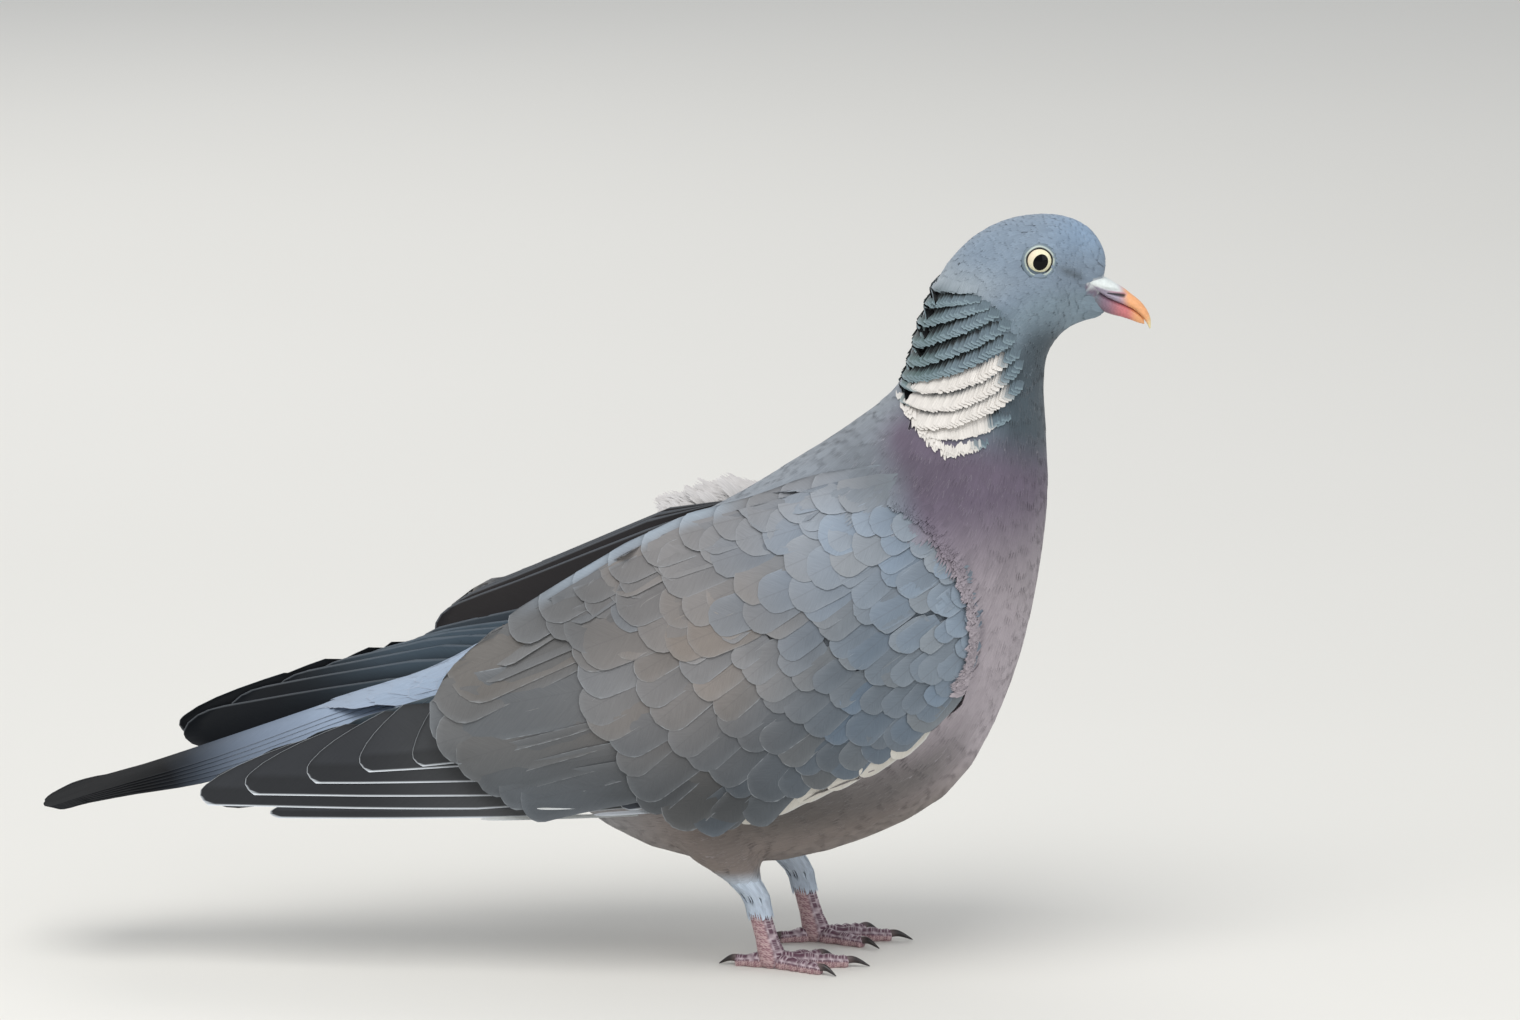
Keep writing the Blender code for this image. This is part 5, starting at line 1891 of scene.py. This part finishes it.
curl = (along / tuft_long[:, None, None]) ** 2 * 2.6 * MM
points = (
    places[:, None, None] + tuft_aims[:, None, None] * along[..., None]
    + sideways[:, None, None] * over[..., None]
    - np.array((1.0, 0.0, 0.6)) * curl[..., None]
)
points[..., 1] += (chance.uniform(-1.5, 1.5, number) * MM)[:, None, None]
up = np.zeros_like(points) + np.array((-0.3, -0.75, 0.6))
shade = np.ones_like(points) * DOWN_WHITE
# painted shade towards the roots, deep between wing and back
shade = shade * (0.74 + 0.26 * tuft_rows)[None, :, None, None]
flat = np.stack([over / MM, along / MM, np.full(over.shape, RIMLESS)], -1)
tuft = make_vanes("white_down_tuft", points, flat, shade, np.zeros(number), places, up, 0.2)
tuft.data.materials.append(soft_paint)
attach(tuft, "root")

# ---------------------------------------------------------------------------
# Bill: hooked upper and short lower half of smooth horn. A chalky swollen
# cere covers the root of the upper half over slit nostrils; in front of it
# the horn turns from rose to orange, with a pale yellow nail at the tip.
# ---------------------------------------------------------------------------
UPPER_RIDGE = (
    (156.0, 219.9), (159.5, 219.9), (162.4, 219.0), (165.2, 217.3),
    (167.6, 215.9), (170.3, 213.8), (173.0, 211.6), (175.1, 208.9),
    (176.3, 206.0), (176.4, 202.9),
)
UPPER_GAPE = (
    (152.6, 218.2), (156.4, 216.6), (159.4, 214.9), (162.0, 213.2),
    (164.6, 211.9), (167.4, 210.7), (170.6, 209.1), (173.2, 207.0),
    (175.0, 204.7), (176.0, 202.8),
)
UPPER_WIDE = (5.6, 4.7, 4.2, 3.9, 3.55, 3.05, 2.55, 2.0, 1.3, 0.35)
LOWER_RIDGE = (
    (152.8, 218.0), (156.6, 216.4), (160.0, 214.6), (163.2, 212.7),
    (166.4, 211.3), (169.4, 209.8), (172.0, 208.1), (174.2, 206.0),
)
LOWER_KEEL = (
    (153.6, 211.6), (157.4, 210.0), (160.8, 208.5), (164.0, 207.3),
    (167.2, 206.5), (170.2, 205.5), (172.6, 204.6), (174.4, 204.2),
)
LOWER_WIDE = (4.0, 3.4, 3.05, 2.8, 2.4, 1.95, 1.35, 0.45)
BILL_SEGMENTS = 72
BILL_RINGS = 110
NOSTRIL = ((162.6, 214.6), (167.8, 213.7))
CERE_CHALK = tone(222, 228, 226)
CERE_LILAC = tone(176, 166, 184)
ROSE = tone(208, 150, 164)
ORANGE = tone(238, 172, 120)
NAIL = tone(236, 222, 168)
JAW_ROSE = tone(206, 120, 122)
JAW_MAUVE = tone(132, 106, 122)
JAW_ROOT = tone(106, 112, 122)


def on_line(points, share):
    """Places on a smooth line through points at shares of its length."""
    line, reach = even_line(points, 200)
    return np.stack([np.interp(share, reach, line[:, k]) for k in (0, 1)], 1)


def bill_shape(ridge, gape, wide, belly):
    """Rings of one half of the bill in mm: places, and round-about angle."""
    share = np.linspace(0.0, 1.0, BILL_RINGS)
    top, bottom = on_line(ridge, share), on_line(gape, share)
    knots = np.linspace(0.0, 1.0, len(wide))
    half = np.interp(share, knots, wide)
    turn = round_about(BILL_SEGMENTS)
    rise = np.sign(np.cos(turn)) * np.abs(np.cos(turn)) ** 0.92
    aside = np.sign(np.sin(turn)) * np.abs(np.sin(turn)) ** 0.86
    middle, along = (top + bottom) / 2, (top - bottom) / 2
    points = np.zeros((BILL_RINGS, BILL_SEGMENTS, 3))
    points[..., 0] = middle[:, None, 0] + along[:, None, 0] * rise
    points[..., 2] = middle[:, None, 1] + along[:, None, 1] * rise
    points[..., 1] = half[:, None] * aside * (1 - belly * rise)
    return points, share, turn


def tube_mesh(name, points, paint, normals_out=True):
    """Closed tube through rings of points in mm, with painted corners."""
    rings, sides = points.shape[:2]
    grid = np.arange(rings * sides).reshape(rings, sides)
    after = np.roll(grid, -1, axis=1)
    faces = np.stack([grid[:-1], after[:-1], after[1:], grid[1:]], -1)
    faces = faces.reshape(-1, 4).tolist()
    faces += [grid[0][::-1].tolist(), grid[-1].tolist()]
    mesh = bpy.data.meshes.new(name)
    mesh.from_pydata((points.reshape(-1, 3) * MM).tolist(), [], faces)
    mesh.update()
    if normals_out:
        flipped = mesh.polygons[len(mesh.polygons) // 2]
        ring = points[rings // 2].mean(0) * MM
        if (Vector(flipped.center) - Vector(ring)).dot(flipped.normal) < 0:
            mesh.flip_normals()
    mesh.shade_smooth()
    store_shade(mesh, paint, 1.0)
    return add_object(name, mesh)


def horn_paint(name, roughness, grain, depth):
    """Horn or bare skin: painted colour with fine grain and soft gloss."""
    material, tree, shader = new_material(name)
    shade = add_node(tree, "ShaderNodeAttribute", attribute_name="shade")
    place = tree.nodes.new("ShaderNodeTexCoord")
    fine = add_node(tree, "ShaderNodeTexNoise", Scale=grain, Detail=5.0)
    tree.links.new(place.outputs["Object"], fine.inputs["Vector"])
    tint = math_node(tree, "MULTIPLY_ADD", fine.outputs[0], 0.34, 0.83)
    tree.links.new(tinted(tree, shade.outputs["Color"], tint), shader.inputs["Base Color"])
    add_relief(tree, shader, fine.outputs[0], 0.5, depth)
    shader.inputs["Roughness"].default_value = roughness
    return material


def line_gap(x, z, ends):
    """Distance in mm of places from a straight line, and place along it."""
    a, b = np.array(ends[0]), np.array(ends[1])
    run = b - a
    share = ((x - a[0]) * run[0] + (z - a[1]) * run[1]) / (run @ run)
    near = np.clip(share, 0, 1)
    return np.hypot(x - a[0] - near * run[0], z - a[1] - near * run[1]), share


horn = horn_paint("bill_horn_gloss", 0.34, 900.0, 0.00012)
points, share, turn = bill_shape(UPPER_RIDGE, UPPER_GAPE, UPPER_WIDE, 0.16)
x, z = points[..., 0], points[..., 2]
slit, _ = line_gap(x, z, NOSTRIL)
above = z - np.interp(x, (157.0, 162.6, 167.8), (216.4, 214.8, 213.8))
outward = np.sign(points[..., 1])
flap = smoothed(above, 0.1, 0.9) * smoothed(x, 158, 162) * (1 - smoothed(x, 166.2, 168.8))
upright = smoothed(np.abs(points[..., 1]), 0.8, 2.0)
open_at = 0.22 + 0.34 * smoothed(x, 163, 167)
points[..., 1] += outward * upright * (0.5 * flap - 0.8 * np.exp(-((slit / open_at) ** 2)))
x3 = x[..., None]
paint = toward(ROSE, ORANGE, smoothed(x3 + 0.4 * (z[..., None] - 210), 166.5, 170.5))
paint = toward(paint, NAIL, smoothed(x3 - 0.5 * (z[..., None] - 205), 174.0, 177.2))
paint = toward(paint, CERE_LILAC, (1 - smoothed(x3, 165.0, 169.6)))
cere = (smoothed(above, 0.5, 1.5) * (1 - smoothed(x + 0.5 * above, 166.2, 169.0)))[..., None]
paint = toward(paint, CERE_CHALK, cere)
# painted shade in the crease at the lower edge of the cere, above the nostril flap
fold = np.exp(-(((above - 1.5) / 0.45) ** 2)) * smoothed(x, 160, 162) * (1 - smoothed(x, 165, 167))
paint = paint * (1 - 0.3 * fold)[..., None]
lip = np.exp(-(((slit - 0.75) / 0.3) ** 2)) * (above > 0) * smoothed(x, 162, 164)
paint = toward(paint, ROSE, 0.6 * lip[..., None])
# painted shade deep inside the nostril slit
paint = paint * (1 - 0.93 * np.exp(-((slit / open_at) ** 2)))[..., None]
low_edge = smoothed(np.abs(turn - math.pi), 0.9, 0.35)[None, :, None]
paint = paint * (1 - 0.18 * low_edge)
bill_top = tube_mesh("upper_bill_horn", points, paint)
bill_top.data.materials.append(horn)
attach(bill_top, "root")
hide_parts("bill_upper")

points, share, turn = bill_shape(LOWER_RIDGE, LOWER_KEEL, LOWER_WIDE, -0.12)
x3 = points[..., 0][..., None]
paint = toward(JAW_ROOT, JAW_MAUVE, smoothed(x3, 158.5, 162.0))
paint = toward(paint, JAW_ROSE, smoothed(x3, 161.5, 168.5))
speck = np.sin(x3 * 6.1 + 3 * np.sin(points[..., 2:] * 4.3)) * np.sin(points[..., 2:] * 7.7)
paint = paint * (1 + 0.14 * speck * (1 - smoothed(x3, 167, 171)))
paint = toward(paint, ORANGE, smoothed(x3, 168.5, 172.5))
bill_bottom = tube_mesh("lower_bill_horn", points, paint)
bill_bottom.data.materials.append(horn)
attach(bill_bottom, "root")
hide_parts("bill_lower")

# ---------------------------------------------------------------------------
# Eyes: a wet ball with a black pupil drawn out to the lower front and a
# straw-white iris, set in two thin bare lid rings, black then pale grey.
# ---------------------------------------------------------------------------
EYE_BALL = 6.3
IRIS = 3.75
PUPIL_WIDE, PUPIL_TALL = 2.3, 2.7
PUPIL_STEP = (0.35, -0.35)
PUPIL_LEAN = math.radians(-28)
EYE_SPOKES = 64
LID_PROFILE = (
    # radius, height over the ball, paint
    (3.78, -0.35, (16, 16, 18)), (3.90, 0.12, (20, 20, 22)),
    (4.05, 0.30, (24, 24, 26)), (4.22, 0.30, (60, 64, 62)),
    (4.38, 0.26, (176, 186, 178)), (4.60, 0.24, (186, 198, 190)),
    (4.82, 0.12, (132, 146, 152)), (5.10, 0.06, (104, 120, 132)),
    (5.60, -0.10, (96, 112, 124)), (6.20, -0.7, (90, 104, 116)),
)


def eye_material(name, inner, outer, fibres):
    """Wet glossy eye surface of one colour going to another."""
    material, tree, shader = new_material(name)
    shade = add_node(tree, "ShaderNodeAttribute", attribute_name="shade")
    spoke = add_node(tree, "ShaderNodeAttribute", attribute_name="spoke")
    noise = add_node(tree, "ShaderNodeTexNoise", Scale=1.0, Detail=3.0)
    tree.links.new(spoke.outputs["Vector"], noise.inputs["Vector"])
    share = math_node(tree, "MULTIPLY", noise.outputs[0], fibres)
    mixed = colour_mix(tree, share, shade.outputs["Color"], tone(*inner))
    tree.links.new(colour_mix(tree, 0.04, mixed, tone(*outer)), shader.inputs["Base Color"])
    shader.inputs["Roughness"].default_value = 0.12
    shader.inputs["Specular IOR Level"].default_value = 0.05
    shader.inputs["Coat Weight"].default_value = 0.2
    shader.inputs["Coat Roughness"].default_value = 0.03
    return material


pupil_black = eye_material("pupil_black", (4, 4, 6), (8, 8, 10), 0.3)
iris_straw = eye_material("iris_straw", (214, 196, 150), (240, 236, 214), 0.5)
lid_skin = horn_paint("lid_skin", 0.5, 2400.0, 0.00005)


def make_eye(side, sign):
    """Eyeball with its pupil and iris, and the lid rings round it."""
    spokes = round_about(EYE_SPOKES)
    lean = spokes - PUPIL_LEAN
    edge = 1 / np.sqrt((np.cos(lean) / PUPIL_WIDE) ** 2 + (np.sin(lean) / PUPIL_TALL) ** 2)
    pupil = np.stack([
        PUPIL_STEP[0] + edge * np.cos(spokes), PUPIL_STEP[1] + edge * np.sin(spokes)
    ], 1)
    rim = np.stack([np.cos(spokes), np.sin(spokes)], 1)
    # five rings of the pupil, six of the iris, then the ball under the lids
    rings = [toward(np.array(PUPIL_STEP), pupil, k) for k in (0.02, 0.35, 0.7, 0.92, 1.0)]
    rings += [toward(pupil, rim * IRIS, k) for k in (0.03, 0.25, 0.5, 0.75, 0.96, 1.0)]
    rings += [rim * radius for radius in (4.3, 5.0, 5.7, 6.2)]
    rings = np.array(rings)
    depth = np.sqrt(np.clip(EYE_BALL**2 - (rings**2).sum(-1), 0.0, None))
    points = np.stack([rings[..., 0], depth, rings[..., 1]], -1)
    # the clear window bulges a little over pupil and iris
    away = np.linalg.norm(points[..., (0, 2)], axis=-1)
    points[..., 1] += 0.35 * (1 - smoothed(away, 0.0, 4.3))
    points[..., 1] *= sign
    paint = np.zeros(points.shape)
    paint[:5] = tone(6, 6, 8)
    straw, pink = tone(238, 236, 206), tone(238, 222, 202)
    rear = smoothed(-points[5:11, :, 0] + 0.7 * points[5:11, :, 2], 0.5, 4.0)
    paint[5:11] = toward(straw, pink, 0.8 * rear[..., None])
    paint[10:] = tone(20, 18, 18)
    paint[9] = paint[9] * 0.9
    centre = EYE_CENTRE / MM * np.array((1.0, sign, 1.0))
    ball = tube_mesh("eyeball_" + side, points + centre, paint, False)
    ball.data.update()
    outward = Vector((0.0, sign, 0.0))
    if ball.data.polygons[EYE_SPOKES * 3].normal.dot(outward) < 0:
        ball.data.flip_normals()
    spoke = np.stack([
        np.broadcast_to(np.cos(spokes) * 9, away.shape),
        np.broadcast_to(np.sin(spokes) * 9, away.shape), away * 0.5,
    ], -1)
    layer = ball.data.attributes.new("spoke", "FLOAT_VECTOR", "POINT")
    layer.data.foreach_set("vector", spoke.astype(np.float32).ravel())
    ball.data.materials.append(iris_straw)
    ball.data.materials.append(pupil_black)
    kind = np.zeros(len(ball.data.polygons), np.int32)
    kind[:EYE_SPOKES * 4] = 1
    kind[EYE_SPOKES * 10:] = 1
    ball.data.polygons.foreach_set("material_index", kind)
    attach(ball, "root")
    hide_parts("eye_" + side)
    lids = np.zeros((len(LID_PROFILE), EYE_SPOKES, 3))
    paint = np.zeros_like(lids)
    for index, (radius, over, colour) in enumerate(LID_PROFILE):
        ring = rim * radius * (1 + 0.012 * np.sin(5 * spokes))[:, None]
        lids[index, :, 0] = ring[:, 0] + centre[0]
        lids[index, :, 2] = ring[:, 1] + centre[2]
        on_ball = centre[1] * sign + math.sqrt(max(EYE_BALL**2 - radius**2, 0.0))
        hits, _, _ = from_side_mm(form, lids[index, :, 0], lids[index, :, 2], sign)
        on_head = hits[:, 1] * sign / MM
        share = smoothed(np.array(radius), 3.95, 5.2)
        height = on_ball * (1 - share) + on_head * share + over
        lids[index, :, 1] = sign * height
        paint[index] = tone(*colour)
    ring = tube_mesh("lid_rings_" + side, lids, paint, False)
    ring.data.materials.append(lid_skin)
    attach(ring, "root")


for side, sign in SIDES:
    make_eye(side, sign)

# ---------------------------------------------------------------------------
# Feet: bare shank and four toes in dull purple-red skin, with overlapping
# scutes in front and on top whose worn edges are whitish, soft pads below
# pressed flat on the floor, and dark curved claws.
# ---------------------------------------------------------------------------
FOOT_PLACE = {"right": (56.3, -20.0), "left": (70.5, 20.0)}
TOES = {
    "middle": (0.0, 24.5, 2.55, 3, 7.2), "inner": (34.0, 18.5, 2.35, 2, 6.4),
    "outer": (-36.0, 19.5, 2.25, 4, 6.0), "hind": (166.0, 12.0, 2.25, 1, 5.8),
}
SHANK_LINE = (
    (-4.9, 23.0, 3.5, 3.2), (-4.4, 20.2, 3.4, 3.1), (-3.2, 15.0, 3.4, 3.0),
    (-1.6, 9.4, 3.6, 3.2), (-0.4, 5.6, 4.2, 3.8), (0.0, 3.0, 4.2, 4.0),
    (0.0, 1.2, 3.7, 3.6), (0.0, 0.02, 2.5, 2.5),
)
SCUTE = 1.7
PLATE = tone(98, 66, 82)
PLATE_RIM = tone(206, 190, 196)
GRAIN_PALE = tone(196, 168, 168)
GRAIN_DARK = tone(140, 100, 110)
CLAW_DARK = tone(44, 38, 38)
CLAW_BASE = tone(104, 88, 88)
FOOT_SIDES = 56
CLAW_SIDES = 16
# feathers of the cuff round each shank, and the turn from one to the next
CUFF_COUNT = 75
CUFF_TURN = 2.399963
foot_paint = horn_paint("foot_skin_scaly", 0.55, 1500.0, 0.00018)
claw_paint = horn_paint("claw_horn_gloss", 0.3, 700.0, 0.00006)


def plates(reach, turn, around, front):
    """Staggered hard plates in front, fine grains behind: relief and paint."""
    column = np.floor(turn / around)
    size = SCUTE * (1 + 0.15 * np.sin(reach * 0.9 + column))
    part = (reach / size + 0.5 * (column % 2)) % 1.0
    aside = (turn / around) % 1.0
    gap = np.minimum(np.minimum(part, 1 - part), 1.1 * np.minimum(aside, 1 - aside))
    lift = smoothed(gap, 0.02, 0.26) * (0.6 + 0.4 * part)
    worn = 1 - smoothed(gap, 0.07, 0.24)
    worn = worn * (0.72 + 0.28 * np.sin(reach * 2.3 + 4 * turn))
    grain = np.sin(reach * 5.4 + 2.5 * np.sin(turn * 5))
    grain = grain * np.sin(turn * 9 + 1.5 * np.sin(reach * 3.1))
    fine = 0.5 + 0.5 * grain
    relief = 0.26 * lift * front + 0.12 * fine * (1 - front)
    hard = PLATE * (0.85 + 0.25 * part)[..., None]
    hard = toward(hard, PLATE_RIM, (0.85 * worn)[..., None])
    soft = toward(GRAIN_DARK, GRAIN_PALE, smoothed(fine, 0.2, 0.7)[..., None])
    return relief, toward(soft, hard, front[..., None])


def shank_rings(side):
    """Bare shank and foot pad as rings in mm, and their paint."""
    foot_x, foot_y = FOOT_PLACE[side]
    table = np.array(SHANK_LINE)
    steps = np.hypot(np.diff(table[:, 0]), np.diff(table[:, 1]))
    reach = np.concatenate([[0], np.cumsum(steps)])
    at = np.arange(0, reach[-1] + 0.15, 0.2)
    row = evened(np.stack([np.interp(at, reach, table[:, k]) for k in range(4)], 1), 6)
    turn = round_about(FOOT_SIDES)
    front = smoothed(np.cos(turn), 0.0, 0.3)[None] * np.ones((len(at), 1))
    relief, paint = plates(at[:, None], turn[None], math.pi / 5, front)
    grow = smoothed(row[:, 1], 3.0, 5.0)[:, None] * relief
    points = np.zeros((len(at), FOOT_SIDES, 3))
    points[..., 0] = foot_x + row[:, None, 0] + (row[:, None, 2] + grow) * np.cos(turn)
    points[..., 1] = foot_y + (row[:, None, 3] + grow) * np.sin(turn)
    points[..., 2] = row[:, None, 1]
    return points, paint


def toe_aims(side, toe):
    """Where a foot stands, and one toe's aim and the way across it."""
    heading = math.radians(TOES[toe][0]) * (1 if side == "right" else -1)
    ahead = np.array((math.cos(heading), math.sin(heading), 0.0))
    aside = np.array((-math.sin(heading), math.cos(heading), 0.0))
    return np.array((*FOOT_PLACE[side], 0.0)), ahead, aside


def toe_rings(side, toe):
    """One toe as rings in mm, and their paint."""
    _, length, thick, joints, _ = TOES[toe]
    foot, ahead, aside = toe_aims(side, toe)
    at = np.arange(1.0, length + 0.01, 0.2)
    part = np.clip((at - 5.2) / (length - 5.2), 0.0, 1.0)
    swell = 1 + 0.12 * np.cos(2 * math.pi * part * joints)
    taper = 1 - 0.22 * part
    end = np.sqrt(np.clip((1.03 - part) * 9, 0, 1))
    radius = thick * swell * taper * end * (0.75 + 0.25 * smoothed(at, 1.0, 5.0))
    middle = 0.84 * thick * taper
    turn = round_about(FOOT_SIDES)
    above = smoothed(np.cos(turn), -0.05, 0.3)[None] * np.ones((len(at), 1))
    relief, paint = plates(at[:, None], turn[None], math.pi / 3, above)
    grow = relief * end[:, None]
    wide = (radius[:, None] + grow) * np.sin(turn)
    tall = middle[:, None] + (radius[:, None] * 1.02 + grow) * np.cos(turn)
    points = foot + at[:, None, None] * ahead + wide[..., None] * aside
    points[..., 2] = np.maximum(tall, 0.02)
    return points, paint


def claw_rings(side, toe):
    """One claw as rings in mm, and their paint."""
    _, length, _, _, claw = TOES[toe]
    foot, ahead, aside = toe_aims(side, toe)
    part = np.linspace(0, 1, 22)
    reach = length - 1.2 + (claw + 1.4) * part * (1 - 0.08 * part)
    radius = 1.35 * (1 - part) ** 0.75 + 0.10
    z = 2.1 + 0.95 * np.sin(math.pi * part) * (1 - part) - 1.75 * part**2
    turn = round_about(CLAW_SIDES)
    points = foot + reach[:, None, None] * ahead + (
        radius[:, None] * 0.78 * np.sin(turn)
    )[..., None] * aside
    points[..., 2] = np.maximum(z[:, None] + radius[:, None] * np.cos(turn), 0.02)
    paint = toward(CLAW_BASE, CLAW_DARK, smoothed(part, 0.05, 0.45)[:, None, None])
    return points, np.broadcast_to(paint, points.shape)


def joined_tubes(name, tubes):
    """One piece of several closed tubes, each given as rings and paint."""
    pieces = [tube_mesh("part", *tube) for tube in tubes]
    bpy.ops.object.select_all(action="DESELECT")
    for piece in pieces:
        piece.select_set(True)
    bpy.context.view_layer.objects.active = pieces[0]
    bpy.ops.object.join()
    pieces[0].name = name
    pieces[0].data.name = name
    return pieces[0]


def make_shank_cuff(side):
    """Short pale feathers that end round the upper part of the bare shank."""
    chance = np.random.default_rng(8)
    foot_x, foot_y = FOOT_PLACE[side]
    table = np.array(SHANK_LINE)[::-1]
    turn = np.arange(CUFF_COUNT) * CUFF_TURN
    top = 31.0 - np.arange(CUFF_COUNT) * 0.12
    rows, across = BODY_ROWS, BODY_ACROSS
    half = 1.9 * np.ones(CUFF_COUNT)
    fray = chance.random((CUFF_COUNT, 13)) * np.where(np.arange(13) % 2, 4.2, 0.8)
    ends = columns_end(across, chance.uniform(6.4, 8.0, CUFF_COUNT), half, 1.0, fray)
    along = rows[None, :, None] * ends[:, None]
    z = top[:, None, None] - along
    x, deep, wide = (np.interp(z, table[:, 1], table[:, k]) for k in (0, 2, 3))
    x = np.where(z > 23, -4.9 - 0.8 * (z - 23), x)
    flare = 0.35 + 0.5 * rows[None, :, None] + 0.30 * np.clip(z - 23, 0, 9)
    over = vane_sides(across, rows, 0.5, half)
    angle = turn[:, None, None] + over / 3.6
    points = np.stack([
        foot_x + x + (deep + flare) * np.cos(angle),
        foot_y + (wide + flare) * np.sin(angle), z,
    ], -1)
    up = unit(np.stack([np.cos(angle), np.sin(angle), 0.2 + 0 * angle], -1))
    up = np.broadcast_to(up, points.shape)
    shade = SHANK_PALE * np.ones_like(points)
    shade = shade * chance.uniform(0.94, 1.08, CUFF_COUNT)[:, None, None, None]
    flat = np.stack([over, along, np.full(along.shape, RIMLESS)], -1)
    piece = make_vanes(
        "shank_cuff_" + side, points * MM, flat, shade, np.zeros(CUFF_COUNT),
        points[:, 0, 6] * MM, up, 0.1,
    )
    piece.data.materials.append(soft_paint)
    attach(piece, "root")


for side, _ in SIDES:
    make_shank_cuff(side)
    toes = [toe_rings(side, toe) for toe in TOES]
    foot = joined_tubes("scaled_foot_" + side, [shank_rings(side)] + toes)
    foot.data.materials.append(foot_paint)
    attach(foot, "root")
    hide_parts("tarsus_" + side, *(f"toe_{toe}_{side}" for toe in TOES))
    claws = joined_tubes("curved_claws_" + side, [claw_rings(side, toe) for toe in TOES])
    claws.data.materials.append(claw_paint)
    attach(claws, "root")
    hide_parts(*(f"claw_{toe}_{side}" for toe in TOES))
